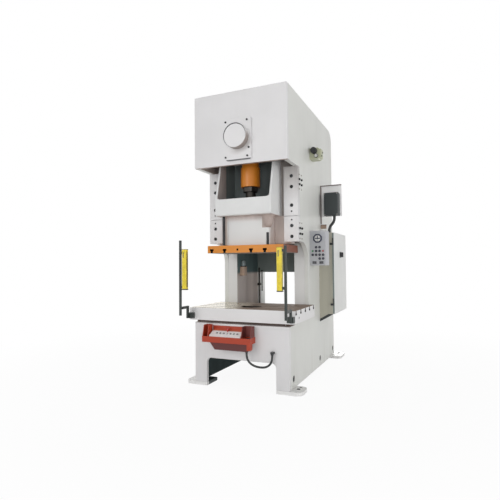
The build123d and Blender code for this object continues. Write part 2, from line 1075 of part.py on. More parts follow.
def cable_hood():
    """The sloping hood over the cable entries under the cabinet."""
    open_face = cabinet_sides()[0]
    front = deep(cabinet_front)
    return slab_y(
        [(half_width, cabinet_bottom - hood_drop), (open_face, cabinet_bottom), (half_width, cabinet_bottom)],
        [0, 0, 0],
        front,
        front + hood_length,
    )


def relay_box():
    """The closed relay box."""
    front = deep(relay_front)
    box = block(
        relay_left,
        relay_left + relay_width,
        front,
        front + relay_depth,
        relay_bottom,
        relay_bottom + relay_height,
    )
    return fillet(box.edges().filter_by(Axis.Z), relay_radius)


def relay_bracket():
    """The bent plate behind the relay box, flanged at the frame and along its top."""
    front = deep(relay_front + relay_depth)
    rear = front + bracket_thickness
    tip = half_width + bracket_reach
    plate = block(half_width, tip, front, rear, relay_bottom, bracket_top)
    plate += block(half_width, half_width + bracket_thickness, front - bracket_flange, rear, bracket_bottom, bracket_top)
    return plate + block(half_width, tip, front - bracket_flange, rear, bracket_top - bracket_thickness, bracket_top)


def panel_centre():
    """The X of the operator panel's middle."""
    return half_width + panel_width / 2


def button_places():
    """Columns and rows of the panel's buttons, as X and Z values."""
    middle = panel_centre()
    columns = [middle + share * button_pitch_x for share in (-1.5, -0.5, 0.5, 1.5)]
    top = panel_bottom + button_top_share * panel_height
    rows = [top - index * button_pitch_z for index in range(4)]
    return columns, rows


def pressed_places():
    """The panel buttons that move: the stop button and the start button."""
    columns, rows = button_places()
    return (columns[3], rows[1]), (columns[0], rows[1])


def fixed_places():
    """The rest of the panel's button caps."""
    columns, rows = button_places()
    places = [(columns[1], rows[0]), (columns[2], rows[0])]
    places += [(columns[1], rows[1]), (columns[2], rows[1])]
    places += [(x, rows[2]) for x in columns]
    places += [(columns[2], rows[3]), (columns[3], rows[3])]
    return places


def panel_box():
    """The operator panel's case, with button rings, caps and counter frames."""
    front = deep(panel_front)
    case = block(
        half_width,
        half_width + panel_width,
        front,
        front + panel_depth,
        panel_bottom,
        panel_bottom + panel_height,
    )
    case = fillet(case.edges().filter_by(Axis.Z).group_by(Axis.X)[-1], panel_radius)
    for x, z in fixed_places():
        case += rod_y(x, z, front - button_ring, front, button_radius)
        case += rod_y(x, z, front - button_proud, front - button_ring, button_cap_radius)
    bore = button_cap_radius + button_gap
    for x, z in pressed_places():
        case += rod_y(x, z, front - button_ring, front, button_radius)
        bottom = front + button_proud + button_travel + button_gap
        case -= rod_y(x, z, front - button_ring - overrun, bottom, bore)
    counter_z = button_places()[1][-1] - counter_drop
    for side in (-1, 1):
        x = panel_centre() + side * button_pitch_x
        case += block(
            x - counter_width / 2,
            x + counter_width / 2,
            front - counter_proud,
            front,
            counter_z - counter_height / 2,
            counter_z + counter_height / 2,
        )
    dial_z = panel_bottom + dial_height_share * panel_height
    bezel = Pos(panel_centre(), dial_z) * RegularPolygon(dial_radius + panel_bezel, 8, rotation=22.5)
    case += Pos(0, front, 0) * extrude(Plane.XZ * bezel, panel_bezel)
    return case


def dial_place():
    """The X, Y and Z of the angle dial's seat on the panel."""
    return panel_centre(), deep(panel_front) - panel_bezel, panel_bottom + dial_height_share * panel_height


def angle_dial():
    """The octagonal dial with a raised rim and a pin hole."""
    x, seat, z = dial_place()
    dial = Pos(0, seat, 0) * extrude(
        Plane.XZ * (Pos(x, z) * RegularPolygon(dial_radius, 8, rotation=22.5)), dial_thickness
    )
    dial -= rod_y(x, z, seat - dial_thickness - overrun, seat - dial_floor, dial_radius - 2 * dial_rim)
    return dial - rod_y(x, z, seat - dial_thickness, seat + overrun, pointer_pin_radius + running_clearance)


def dial_pointer():
    """The pointer that shows the crank's angle."""
    x, seat, z = dial_place()
    floor = seat - dial_floor - pointer_gap
    pointer = rod_y(x, z, floor - pointer_thickness, floor, pointer_hub_radius)
    pointer += block(
        x - pointer_width / 2,
        x + pointer_width / 2,
        floor - pointer_thickness,
        floor,
        z,
        z + pointer_length - pointer_hub_radius,
    )
    return pointer + rod_y(x, z, floor, seat - pointer_gap, pointer_pin_radius)


def panel_button(place):
    """A push button's plunger in its ring."""
    x, z = place
    front = deep(panel_front)
    return rod_y(x, z, front - button_proud, front + button_proud, button_cap_radius)


def control_tray():
    """The folded tray with a guard round each palm button."""
    right = tray_left + tray_width
    front = deep(-tray_reach)
    lip_top = tray_bottom + tray_lip
    tray = block(tray_left, right, front, front_y, tray_bottom, tray_bottom + tray_sheet)
    tray += block(tray_left, right, front, front + tray_sheet, tray_bottom, lip_top)
    guard_front = front + guard_front_margin
    guard_rear = front_y - guard_rear_margin
    wall = [
        (guard_front, tray_bottom),
        (guard_rear, tray_bottom),
        (guard_rear, guard_top),
        (guard_front + guard_lean, guard_top),
        (guard_front, lip_top),
    ]
    for left, inner in guard_sides():
        tray += block(left, inner, guard_rear - tray_sheet, guard_rear, tray_bottom, guard_top)
        for x in (left, inner - tray_sheet):
            tray += slab_x(wall, [0] * 5, x, x + tray_sheet)
        middle = (left + inner) / 2
        tray += rod_z(
            middle, palm_depth(), tray_bottom, tray_bottom + tray_sheet + palm_base_height, palm_base_radius
        )
        tray -= rod_z(
            middle,
            palm_depth(),
            tray_bottom - overrun,
            tray_bottom + tray_sheet + palm_base_height + overrun,
            palm_stem_radius + button_gap,
        )
    for x in (tray_left, right - tray_sheet):
        tray += block(x, x + tray_sheet, front, front_y, tray_bottom, lip_top)
    tray += block(
        right - tray_ear_breadth,
        right,
        front,
        front + tray_ear_width,
        tray_bottom - tray_ear_drop,
        tray_bottom,
    )
    back_left = tray_left + left_guard_width
    back_right = right - right_guard_width
    back_top = tray_bottom + tray_back_height
    return tray + block(back_left, back_right, front_y - tray_sheet, front_y, tray_bottom, back_top)


def guard_sides():
    """The left and right X of each button guard."""
    right = tray_left + tray_width
    return (tray_left, tray_left + left_guard_width), (right - right_guard_width, right)


def palm_depth():
    """The Y of the palm buttons' axes."""
    return deep(-tray_reach / 2)


def palm_button(x):
    """A mushroom button with its stem in the tray."""
    top = tray_bottom + tray_sheet + palm_base_height + palm_lift
    button = rod_z(x, palm_depth(), tray_bottom + palm_travel + button_gap, top, palm_stem_radius)
    head = rod_z(x, palm_depth(), top, top + palm_head, palm_radius)
    edge = head.edges().filter_by(GeomType.CIRCLE).sort_by(Axis.Z)[-1]
    return button + fillet(edge, palm_head * 0.6)


def console_sides():
    """The left and right X of the console, between the guards."""
    left_guard, right_guard = guard_sides()
    return left_guard[1] + console_margin, right_guard[0] - console_margin


def console_slope(y):
    """The height of the console's sloping top at a given Y."""
    front = deep(-tray_reach) + console_inset
    rise = (y - front) / (front_y - front)
    return tray_bottom + console_front_height + rise * (console_rear_height - console_front_height)


def stop_place():
    """The X and Y of the stop button on the console."""
    left, right = console_sides()
    return left + stop_share * (right - left), front_y - stop_setback


def control_console():
    """The sloping button box between the guards."""
    left, right = console_sides()
    front = deep(-tray_reach) + console_inset
    floor = tray_bottom + tray_sheet
    box = slab_x(
        [
            (front, floor),
            (front_y - tray_sheet, floor),
            (front_y - tray_sheet, console_slope(front_y - tray_sheet)),
            (front, console_slope(front)),
        ],
        [0] * 4,
        left,
        right,
    )
    row_y = (front + front_y) / 2 - console_inset
    for share in console_button_shares:
        x = left + share * (right - left)
        box += rod_z(x, row_y, floor, console_slope(row_y) + console_button_proud, console_button_radius)
    x, y = stop_place()
    return box - rod_z(x, y, floor - overrun, console_slope(front_y) + overrun, stop_stem_radius + button_gap)


def stop_button():
    """The mushroom stop button on the console."""
    x, y = stop_place()
    top = console_slope(y) + stop_lift
    button = rod_z(x, y, tray_bottom + tray_sheet + stop_lift, top, stop_stem_radius)
    head = rod_z(x, y, top, top + stop_head, stop_radius)
    edge = head.edges().filter_by(GeomType.CIRCLE).sort_by(Axis.Z)[-1]
    return button + fillet(edge, stop_head * 0.6)


def tray_bracket():
    """The bracket under the tray, bolted to the base."""
    right = under_left + under_width
    return slab_y(
        [
            (under_left, tray_bottom),
            (right, tray_bottom),
            (right, under_bottom),
            (under_left + under_lean, under_bottom),
        ],
        [0] * 4,
        deep(-under_reach),
        front_y,
    )


def cord_points(points):
    """A route's points, moved behind the base's front face."""
    return [Vector(x, deep(y), z) for x, y, z in points]


def cord(name, points, radius):
    """A tube along straight runs joined by arcs as large as the runs allow."""
    route = cord_points(points)
    radii = []
    for before, corner, after in zip(route, route[1:], route[2:]):
        turn = (corner - before).get_angle(after - corner)
        shorter = min((corner - before).length, (after - corner).length)
        radii.append(0.45 * shorter / tangent(turn / 2))
    path = FilletPolyline(*route, radius=radii)
    section = Plane(origin=route[0], z_dir=path % 0) * Circle(radius)
    tube = sweep(section, path=path)
    print(name, "radii", [round(value) for value in radii], "length", round(path.length, 1))
    print(name, "volume", round(tube.volume), "section times length", round(section.area * path.length))
    return tube


def tangent(degrees):
    """The tangent of an angle, from a unit vector turned by it."""
    turned = Vector(1, 0, 0).rotate(Axis.Z, degrees)
    return turned.Y / turned.X


def cable_glands():
    """The collar under the tray's bracket and the elbow box on the base."""
    start, end = cord_points(cable_points)[0], cord_points(cable_points)[-1]
    collar = rod_z(start.X, start.Y, start.Z, start.Z + gland_length, gland_radius)
    nut = rod_z(end.X, end.Y, end.Z, end.Z + gland_length, gland_radius)
    elbow = block(
        end.X - gland_box_width / 2,
        end.X + gland_box_width / 2,
        end.Y - gland_radius,
        front_y,
        end.Z + gland_length,
        end.Z + gland_length + gland_box_height,
    )
    return collar, nut + elbow


def curtain_stand(post_top):
    """The right stand: block on the bolster, cranked arm and post with two clamps."""
    y = deep(-post_front)
    table_front = deep(-bolster_front_reach)
    block_low = table_top - stand_block_drop - stand_block_height / 2
    block_right = bolster_half_width
    stand = block(
        block_right - stand_block_width,
        block_right,
        table_front - stand_block_depth,
        table_front,
        block_low,
        block_low + stand_block_height,
    )
    half_arm = stand_arm_thickness / 2
    arm_x = post_offset
    arm_low = block_low + stand_block_height / 2
    stand += block(
        arm_x - half_arm,
        arm_x + half_arm,
        table_front - stand_block_depth - stand_arm_thickness,
        table_front - stand_block_depth,
        arm_low - stand_arm_height,
        arm_low + stand_rise,
    )
    stand += block(
        arm_x - half_arm,
        arm_x + half_arm,
        y,
        table_front - stand_block_depth,
        arm_low + stand_rise - stand_arm_height,
        arm_low + stand_rise,
    )
    stand += rod_z(arm_x, y, post_bottom, post_top, post_radius)
    bar_outer = bar_offset + bar_width / 2
    for share in clamp_shares:
        z = bar_bottom + share * bar_length
        stand += block(
            bar_outer,
            arm_x,
            y - clamp_margin,
            y + clamp_margin,
            z - clamp_height / 2,
            z + clamp_height / 2,
        )
    return stand


def curtain_bar():
    """The right optical bar with end caps and a lens strip that faces the other bar."""
    y = deep(-post_front)
    low = bar_offset - bar_width / 2
    high = bar_offset + bar_width / 2
    bar = block(low, high, y - bar_depth / 2, y + bar_depth / 2, bar_bottom, bar_bottom + bar_length)
    bar = fillet(bar.edges().filter_by(Axis.Z), bar_radius)
    return bar - block(
        low - overrun,
        low + bar_lens_depth,
        y - bar_lens_width / 2,
        y + bar_lens_width / 2,
        bar_bottom + bar_end_cap,
        bar_bottom + bar_length - bar_end_cap,
    )


def regulator():
    """The air regulator's body on the frame's side, with the knob's stem hole."""
    front = deep(regulator_front)
    body = block(
        half_width,
        half_width + regulator_reach,
        front,
        front + regulator_depth,
        regulator_bottom,
        regulator_bottom + regulator_height,
    )
    body = chamfer(body.edges().filter_by(Axis.Y).group_by(Axis.X)[-1], regulator_chamfer)
    x, z = knob_place()
    return body - rod_y(x, z, front - overrun, front + knob_stem_length, knob_stem_radius + running_clearance)


def knob_place():
    """The X and Z of the regulator knob's axis."""
    return half_width + regulator_reach / 2, regulator_bottom + regulator_height - knob_radius


def regulator_knob():
    """The fluted knob that sets the air pressure."""
    front = deep(regulator_front) - knob_gap
    x, z = knob_place()
    knob = rod_y(x, z, front - knob_length, front, knob_radius)
    for index in range(knob_flute_count):
        flute = rod_y(0, knob_radius, front - knob_length - overrun, front - knob_length / 3, knob_flute_radius)
        knob -= Pos(x, 0, z) * Rot(0, 360 / knob_flute_count * index, 0) * flute
    return knob + rod_y(x, z, front, front + knob_stem_length, knob_stem_radius)


def air_line():
    """The air pipe with its shut-off valve behind the left column, and the filter block beside it."""
    x = -column_inner + line_offset
    y = deep(column_rear - line_setback)
    pipe = rod_z(x, y, bed_top, back_panel_bottom + line_setback, line_radius)
    valve_z = bed_top + valve_height_share * (back_panel_bottom - bed_top)
    pipe += rod_x(y, valve_z, x - valve_length / 2, x + valve_length / 2, valve_radius)
    block_y = deep(column_rear - filter_setback)
    filter_block = block(
        -column_inner,
        -column_inner + filter_width,
        block_y - filter_length,
        block_y,
        filter_bottom,
        filter_bottom + filter_height,
    )
    return pipe, filter_block


os.makedirs("parts", exist_ok=True)

right_side = side_plate()
save("side_plate_right", right_side)
save("side_plate_left", other_side(right_side))
front_foot = foot_plate(front_y, deep(front_foot_length), -anchor_spacing_y / 2)
rear_end = anchor_spacing_y / 2 + rear_foot_margin
rear_foot = foot_plate(rear_end - rear_foot_length, rear_end, anchor_spacing_y / 2)
save("foot_plates", front_foot, rear_foot, other_side(front_foot), other_side(rear_foot))
save("base_front_plate", base_front_plate())
save(
    "base_rear_plate",
    block(
        -inner_face, inner_face, deep(frame_depth - tie_thickness), deep(frame_depth), tie_bottom, bed_top
    ),
)
save("bed_plate", bed_plate())
right_column = column()
save("column_right", right_column)
save("column_left", other_side(right_column))
save("crown_front_plate", crown_front_plate())
save("crown_cover", crown_cover())
save("crown_web", crown_web())
panel_reach = column_inner + column_wall
save(
    "throat_back_panel",
    block(
        -panel_reach,
        panel_reach,
        deep(column_rear),
        deep(column_rear + back_panel_thickness),
        back_panel_bottom,
        crown_bottom,
    ),
)

right_guide = guide_block()
save("guide_block_right", right_guide)
save("guide_block_left", other_side(right_guide))
_, lower_heights, upper_heights = cap_screw_places()
lower_cap = gib_cap(throat_top, cap_seam - seam_gap / 2, lower_heights)
upper_cap = gib_cap(cap_seam + seam_gap / 2, crown_bottom, upper_heights)
save("gib_caps_right", lower_cap, upper_cap)
save("gib_caps_left", other_side(lower_cap), other_side(upper_cap))
right_screws = cap_screws()
save("gib_cap_screws", *right_screws, *[other_side(screw) for screw in right_screws])

save("bolster", bolster())

save("slide_body", slide_body())
save("die_plate", die_plate())
save("ejector_rods", *ejector_rods())
save("connecting_rod", connecting_rod())
save("adjusting_screw", adjusting_screw())
save("lock_nut", lock_nut())
save("crank_pin", crank_pin())

save("crankshaft", *crankshaft())
save("crank_bushes", crank_bush(front_y), crank_bush(deep(throat_depth)))
save("bearing_cap", bearing_cap())
save("flywheel", flywheel())
save("drive_belt", drive_belt())
save("motor", motor())
save("motor_pulley", motor_pulley())
save("motor_shelf", motor_shelf())

save("cabinet_body", cabinet_body())
save("cabinet_door", cabinet_door())
save("main_switch", main_switch())
save("cable_hood", cable_hood())
save("relay_box", relay_box())
save("relay_bracket", relay_bracket())
save("relay_hose", cord("relay_hose", hose_points, hose_radius))

save("panel_box", panel_box())
save("angle_dial", angle_dial())
save("dial_pointer", dial_pointer())
stop_spot, start_spot = pressed_places()
save("panel_stop_button", panel_button(stop_spot))
save("panel_start_button", panel_button(start_spot))

save("control_tray", control_tray())
save("control_console", control_console())
left_guard, right_guard = guard_sides()
save("palm_button_left", palm_button(sum(left_guard) / 2))
save("palm_button_right", palm_button(sum(right_guard) / 2))
save("stop_button", stop_button())
save("tray_bracket", tray_bracket())
save("control_cable", cord("control_cable", cable_points, cable_radius))
save("cable_glands", *cable_glands())

right_bar = curtain_bar()
save("curtain_bar_right", right_bar)
save("curtain_bar_left", other_side(right_bar))
save("curtain_stand_right", curtain_stand(table_top + right_post_rise))
save("curtain_stand_left", other_side(curtain_stand(table_top + left_post_rise)))

save("air_regulator", regulator())
save("regulator_knob", regulator_knob())
save("air_line", *air_line())
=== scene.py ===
# %% [markdown]
# # Dressing a gap-frame power press
# The press arrives as plain solids. This lesson gives them what a finished machine has: softened
# edges, enamel with a little texture, ground steel, screws, a dial, coloured buttons and a cable.
# Everything is in metres, with +Z up, +Y towards the back and +X to the operator's right.

# %% Load the solids
import bmesh
import bpy
import json
from math import cos, pi, radians, sin
from mathutils import Matrix, Vector

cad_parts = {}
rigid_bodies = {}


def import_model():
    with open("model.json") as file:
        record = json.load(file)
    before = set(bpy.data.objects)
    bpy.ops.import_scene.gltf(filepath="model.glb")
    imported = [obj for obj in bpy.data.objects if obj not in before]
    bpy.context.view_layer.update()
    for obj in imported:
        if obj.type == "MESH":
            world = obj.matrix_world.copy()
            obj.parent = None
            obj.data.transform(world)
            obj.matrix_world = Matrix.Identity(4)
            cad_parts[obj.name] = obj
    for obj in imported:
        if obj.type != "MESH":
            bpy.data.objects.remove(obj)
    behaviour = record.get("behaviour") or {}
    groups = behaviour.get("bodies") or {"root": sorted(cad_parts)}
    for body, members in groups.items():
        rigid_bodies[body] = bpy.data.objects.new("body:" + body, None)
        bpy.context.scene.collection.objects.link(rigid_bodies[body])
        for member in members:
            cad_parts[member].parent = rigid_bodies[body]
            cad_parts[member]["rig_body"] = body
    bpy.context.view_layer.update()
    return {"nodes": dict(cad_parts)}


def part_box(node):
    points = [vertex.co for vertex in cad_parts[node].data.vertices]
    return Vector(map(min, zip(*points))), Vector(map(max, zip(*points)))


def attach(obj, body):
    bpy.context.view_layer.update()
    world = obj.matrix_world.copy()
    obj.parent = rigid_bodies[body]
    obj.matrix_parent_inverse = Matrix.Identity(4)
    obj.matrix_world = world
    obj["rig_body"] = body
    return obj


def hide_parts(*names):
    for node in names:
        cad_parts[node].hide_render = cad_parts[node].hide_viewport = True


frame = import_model()
nodes = frame["nodes"]
front_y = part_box("base_front_plate")[0].y
tray_low, tray_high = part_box("control_tray")
sides = (("left", -1), ("right", 1))


def placed(name, data):
    """A new object in the scene."""
    thing = bpy.data.objects.new(name, data)
    bpy.context.scene.collection.objects.link(thing)
    return thing


# %% [markdown]
# ## Camera
# The photograph was taken from the right of the press at a little over table height, with a wide
# lens. The place and angles below come from fitting the straight edges of the frame, so the solids
# fall on the same pixels. A slight roll is kept because the real picture has it.

# %% Place the camera
lens = bpy.data.cameras.new("photo_camera")
lens.sensor_width = 36
lens.lens = 30.707
camera = placed("photo_camera", lens)
pan, tilt, roll = radians(23.914), radians(91.906), radians(-0.464)
turned = Matrix.Rotation(pan, 4, "Z") @ Matrix.Rotation(tilt, 4, "X") @ Matrix.Rotation(roll, 4, "Z")
camera.matrix_world = Matrix.Translation((1.8843, -5.0426, 1.2801)) @ turned
bpy.context.scene.camera = camera
print("camera at", tuple(round(v, 2) for v in camera.location))

# %% [markdown]
# ## Node helpers
# A material is a small graph, and so is a tree that repeats a shape. One helper adds a node and joins
# its inputs. A second one, the field, is a number that varies from place to place: sums and tests
# that are written with it become nodes. All patterns read Object coordinates, which here are the
# press's own metres, so a pattern keeps its real size on every piece.

# %% Nodes and fields
def join(tree, node, **inputs):
    """Feed a node; inputs go by name, or by number as i0, and take a field, a socket or a value."""
    for key, value in inputs.items():
        numbered = key[0] == "i" and key[1:].isdigit()
        socket = node.inputs[int(key[1:]) if numbered else key.replace("_", " ")]
        value = value.socket if isinstance(value, Field) else value
        if isinstance(value, bpy.types.NodeSocket):
            tree.links.new(value, socket)
        else:
            socket.default_value = value


def put(tree, kind, settings=None, **inputs):
    """Add a node of a kind, with its settings and inputs."""
    full_name = kind.startswith(("Shader", "Function"))
    node = tree.nodes.new(kind if full_name else tree.bl_idname.removesuffix("Tree") + kind)
    for key, value in (settings or {}).items():
        setattr(node, key, value)
    join(tree, node, **inputs)
    return node


def out(*node, **inputs):
    """Add a node and give its first output."""
    return put(*node, **inputs).outputs[0]


def sum_of(operation):
    """A method that joins two numbers with a maths node."""
    def method(a, b=0.0):
        return Field(a.tree, out(a.tree, "ShaderNodeMath", {"operation": operation}, i0=a, i1=b))
    return method


class Field:
    """A number that varies from place to place; a test on it gives 1 or 0, for use as a mask."""
    def __init__(self, tree, socket):
        self.tree, self.socket = tree, socket

    def __rsub__(self, number):
        return self * -1.0 + number

    __add__, __sub__ = sum_of("ADD"), sum_of("SUBTRACT")
    __mul__, __truediv__ = sum_of("MULTIPLY"), sum_of("DIVIDE")
    __lt__, __gt__ = sum_of("LESS_THAN"), sum_of("GREATER_THAN")
    __and__, __or__ = sum_of("MULTIPLY"), sum_of("MAXIMUM")
    __abs__ = sum_of("ABSOLUTE")


def places(tree, scale=(1, 1, 1)):
    """The piece's own coordinates in metres, stretched by a scale."""
    return out(tree, "Mapping", Vector=put(tree, "TexCoord").outputs["Object"], Scale=scale)


def axes(tree, vector):
    """A vector's x, y and z as fields."""
    return [Field(tree, output) for output in put(tree, "SeparateXYZ", Vector=vector).outputs]


def noise(tree, where, scale, detail, roughness=0.5):
    inputs = {"Vector": where, "Scale": scale, "Detail": detail, "Roughness": roughness}
    return Field(tree, out(tree, "TexNoise", **inputs))


def mapped(value, settings=None, **limits):
    """A value brought from one range to another."""
    return Field(value.tree, out(value.tree, "MapRange", settings, Value=value, **limits))


def step(value, low, high):
    """0 below low, 1 above high, smooth between."""
    return mapped(value, {"interpolation_type": "SMOOTHSTEP"}, From_Min=low, From_Max=high)


def spread(value, low, high):
    """A value from 0 to 1, spread over low to high."""
    return mapped(value, To_Min=low, To_Max=high)


def mixed(share, a, b):
    """Blend two colours by a share from 0 to 1."""
    a, b = (c if isinstance(c, bpy.types.NodeSocket) else (*c, 1) for c in (a, b))
    return put(share.tree, "Mix", {"data_type": "RGBA"}, i0=share, i6=a, i7=b).outputs[2]


def tone(colour, factor):
    return [min(1, c * factor) for c in colour]


def start_finish(name):
    """A new material and its node tree."""
    finish = bpy.data.materials.new(name)
    finish.use_nodes = True
    return finish, finish.node_tree


def set_look(finish, tint, gloss, height, strength, distance, **values):
    """Give a finish's main shader its colour, roughness, bump and other values."""
    tree = finish.node_tree
    bump = out(tree, "Bump", Strength=strength, Distance=distance, Height=height)
    join(tree, tree.nodes["Principled BSDF"], Base_Color=tint, Roughness=gloss, Normal=bump, **values)
    return finish


print("helpers ready")

# %% [markdown]
# ## Where a second paint goes
# Some plates carry painted shade: a dark inside, a shaded hollow, a face under an overhang; one
# carries a painted highlight. A mask says where, from the place on the press. Each limit lies a little
# off the face that it picks, so rounding can't flip it.

# %% Masks on the frame
def squares(a, b):
    return a * a + b * b


def column(x, y, middle, radius):
    """Inside an upright round column."""
    return squares(x - middle[0], y - middle[1]) < radius**2


def lining(x):
    """The column faces that line the throat, but not the lips behind them."""
    return (abs(x) < 0.3632) & (abs(x) > 0.3600)


inner_x = 0.4822
masks = dict(
    # Painted shade on a side plate's inner faces: dark green down in the base, brown up in the crown
    inner_base=lambda x, y, z: (abs(x) < inner_x) & (z < 0.70),
    inner_crown=lambda x, y, z: (abs(x) < inner_x) & step(z, 2.10, 2.20),
    # Painted shade in the joint under the table: the top of the base, and the bed's front edge
    table_joint=lambda x, y, z: (z < 0.6685) & (z > 0.6600) & (y < front_y + 0.3),
    bed_edge=lambda x, y, z: y < front_y + 0.0405,
    # Painted shade on the feet: what lies under the press, the anchor holes and the levelling holes
    under_press=lambda x, y, z: (abs(x) < 0.4810) & (y > front_y + 0.041),
    anchor_holes=lambda x, y, z: column(abs(x), abs(y), (0.580, 0.9375), 0.0186),
    level_holes=lambda x, y, z: column(abs(x), abs(y), (0.580, 0.8655), 0.0116),
    # Painted shade, dark green, on the back of the front plate
    behind_front=lambda x, y, z: y > front_y + 0.0398,
    # The throat's lining in brown painted shade, its rear with a pale painted highlight, and the part
    # above the passage in dark painted shade
    inner_wall=lambda x, y, z: lining(x),
    rear_wall=lambda x, y, z: lining(x) & step(y, -0.25, 0.22),
    upper_wall=lambda x, y, z: lining(x) & step(z, 1.150, 1.190),
)
print("masks on the frame:", len(masks))

# %% Masks on the crown and the slide
cap_z = 2.594


def drum_cast(x, y, z):
    """Painted shadow of the bearing cap's drum, on the flange just below and right of it."""
    near = 0.45 - step(squares(x, z - cap_z), 0.122**2, 0.190**2) * 0.45
    return near & step(x * 0.5 - (z - cap_z), 0.06, 0.14) & (y > front_y - 0.0262)


def drum_shade(x, y, z):
    """Painted shade on the lower right of the drum itself."""
    down = x * 0.5 - z * 0.87 + 2.6 * 0.87
    return step(down, -0.005, 0.090) & (y > front_y - 0.1045) & (y < front_y - 0.0262)


def slide_hollow(x, y, z):
    """The hollow behind the slide's window, painted as shade."""
    return (abs(x) < 0.3012) & (z > 1.885) & (y > front_y + 0.0815)


def slide_boss(x, y, z):
    """The round boss under the slide's belly, painted brown as shade."""
    boss = column(x, y, (0.240, front_y + 0.205), 0.0675) & (y < front_y + 0.266)
    return boss & (z < 1.7985) & (z > 1.668)


masks.update(
    drum_cast=drum_cast, drum_shade=drum_shade, slide_hollow=slide_hollow, slide_boss=slide_boss,
    # Brown painted shade on the underside and back of the crown's front plate
    crown_under=lambda x, y, z: (z < 2.3226) | (y > front_y + 0.0995),
    # A dark crescent round the edge of the cap's face, widest at the upper left, and painted shade
    # along its flange's lower edge
    cap_seam=lambda x, y, z: (y < front_y - 0.1060) & (squares(x - 0.0045, z - 2.593) > 0.1203**2),
    flange_foot=lambda x, y, z: z < 2.3690,
    # Painted shade on the upper gib caps under the crown, heavier on the right
    gib_shade=lambda x, y, z: step(z, 1.84, 2.28) & ((x > 0.0) * 0.50 + 0.22),
    # Darker painted shade on the far wall of the slide's hollow
    hollow_back=lambda x, y, z: slide_hollow(x, y, z) & (y > front_y + 0.30),
    # Painted shade on the slide's guide flanks, dark on the right and light on the left
    slide_flank=lambda x, y, z: (x > 0.3245) & (y > front_y + 0.2),
    left_flank=lambda x, y, z: (x < -0.3245) & (y > front_y + 0.2),
    # Painted shade on the slide's neck: its right side, and its top with the belly's underside
    neck_side=lambda x, y, z: (x > 0.2495) & (z < 1.7985),
    belly_shade=lambda x, y, z: step(z, 1.725, 1.800) & (y > front_y + 0.1) & (z < 1.8015),
)
print("with the crown and the slide:", len(masks))

# %% Masks on the boxes
masks.update(
    # Olive painted shade on the narrow front wall of the cabinet, and a dark band along its hood's
    # sloping edge
    cabinet_face=lambda x, y, z: y < front_y + 1.1705,
    hood_rim=lambda x, y, z: z - ((x - 0.532) * (0.095 / 0.162) + 0.572) < 0.032,
    # Painted shade on the relay bracket's flanges along the frame and along its top
    bracket_edges=lambda x, y, z: (x < 0.5405) | (z > 2.2515),
    # The upper strip of the console, coated with the tray
    console_top=lambda x, y, z: z > 0.5925,
    # The right button guard, in the shade of its own walls, above the tray's lip
    right_guard=lambda x, y, z: (x > tray_high.x - 0.103) & (z > tray_low.z + 0.119),
)
print("masks in all:", len(masks))

# %% [markdown]
# ## Enamel
# Machine enamel is sprayed on thick. It shows a faint orange-peel ripple, its colour drifts a few
# percent over a large plate, and dust and hand grease settle low down and in streaks. One function
# makes every painted finish, so the drift, ripple and grime have the same scale all over. Each mask
# then lays its own paint on top.

# %% Enamel finishes
plain_dullness = 0.12


def enamel(name, colour, rough=0.36, layers=(), grime=0.25, peel=0.05):
    """Sprayed paint; layers are (colour, name of a mask, dullness) that cover it in turn."""
    finish, tree = start_finish(name)
    own = places(tree)
    x, y, z = axes(tree, own)
    tint = mixed(step(noise(tree, own, 1.7, 4), 0.3, 0.7), tone(colour, 0.965), tone(colour, 1.025))
    streaks = noise(tree, places(tree, (9, 9, 0.7)), 1.0, 5, 0.6)
    low_down = 1.0 - step(z, 0.02, 0.55)
    dirt = step(streaks, 0.48, 0.8) * (low_down + 0.18) * grime
    tint = mixed(dirt, tint, [c * k for c, k in zip(colour, (0.62, 0.57, 0.5))])
    gloss = spread(streaks, rough - 0.05, rough + 0.12)
    for paint, mask, *dullness in layers:
        cover = masks[mask](x, y, z)
        tint = mixed(cover, tint, mixed(step(streaks, 0.35, 0.75), paint, tone(paint, 0.78)))
        gloss = gloss + cover * (dullness or [plain_dullness])[0]
    ripple = noise(tree, own, 260, 2)
    return set_look(finish, tint, gloss, ripple, peel, 0.0006, Specular_IOR_Level=0.4)


off_white = (0.70, 0.692, 0.697)
shadow_green = (0.045, 0.066, 0.066)
# black painted shade in holes
hole_shade_black = (0.02, 0.02, 0.02)
# brown painted shade under the slide's belly
boss_shade_brown = (0.42, 0.345, 0.315)
# brown painted shade inside the crown and under its front plate
crown_shade_brown = (0.45, 0.37, 0.33)
# dark brown painted shade in the joint under the table; also a dark joint colour
joint_shade_brown = (0.10, 0.065, 0.055)
# olive painted shade for the cabinet's front wall and the hood
shaded_olive = (0.43, 0.415, 0.345)
# painted shade inside the side plates, and in the joint under the table
side_layers = [
    (shadow_green, "inner_base", 0.55), (crown_shade_brown, "inner_crown"), (joint_shade_brown, "table_joint"),
]
# painted shade and a painted highlight on the throat's lining
column_layers = [
    ((0.42, 0.36, 0.33), "inner_wall"), ((0.97, 0.86, 0.80), "rear_wall"),
    ((0.12, 0.18, 0.185), "upper_wall"),
]
# dark painted shade under the press and in the feet's holes
foot_layers = [
    ((0.05, 0.065, 0.062), "under_press"), (hole_shade_black, "anchor_holes"), (hole_shade_black, "level_holes"),
]
tray_layers = [((0.17, 0.038, 0.032), "right_guard")]
console_layers = [((0.56, 0.12, 0.06), "console_top")]
# painted shadow and shade round the bearing cap's drum and along its flange's foot, and a dark
# crescent on its face
cap_layers = [
    ((0.42, 0.385, 0.365), "drum_cast"), ((0.31, 0.265, 0.245), "drum_shade"),
    ((0.04, 0.042, 0.045), "cap_seam"), ((0.15, 0.155, 0.16), "flange_foot"),
]
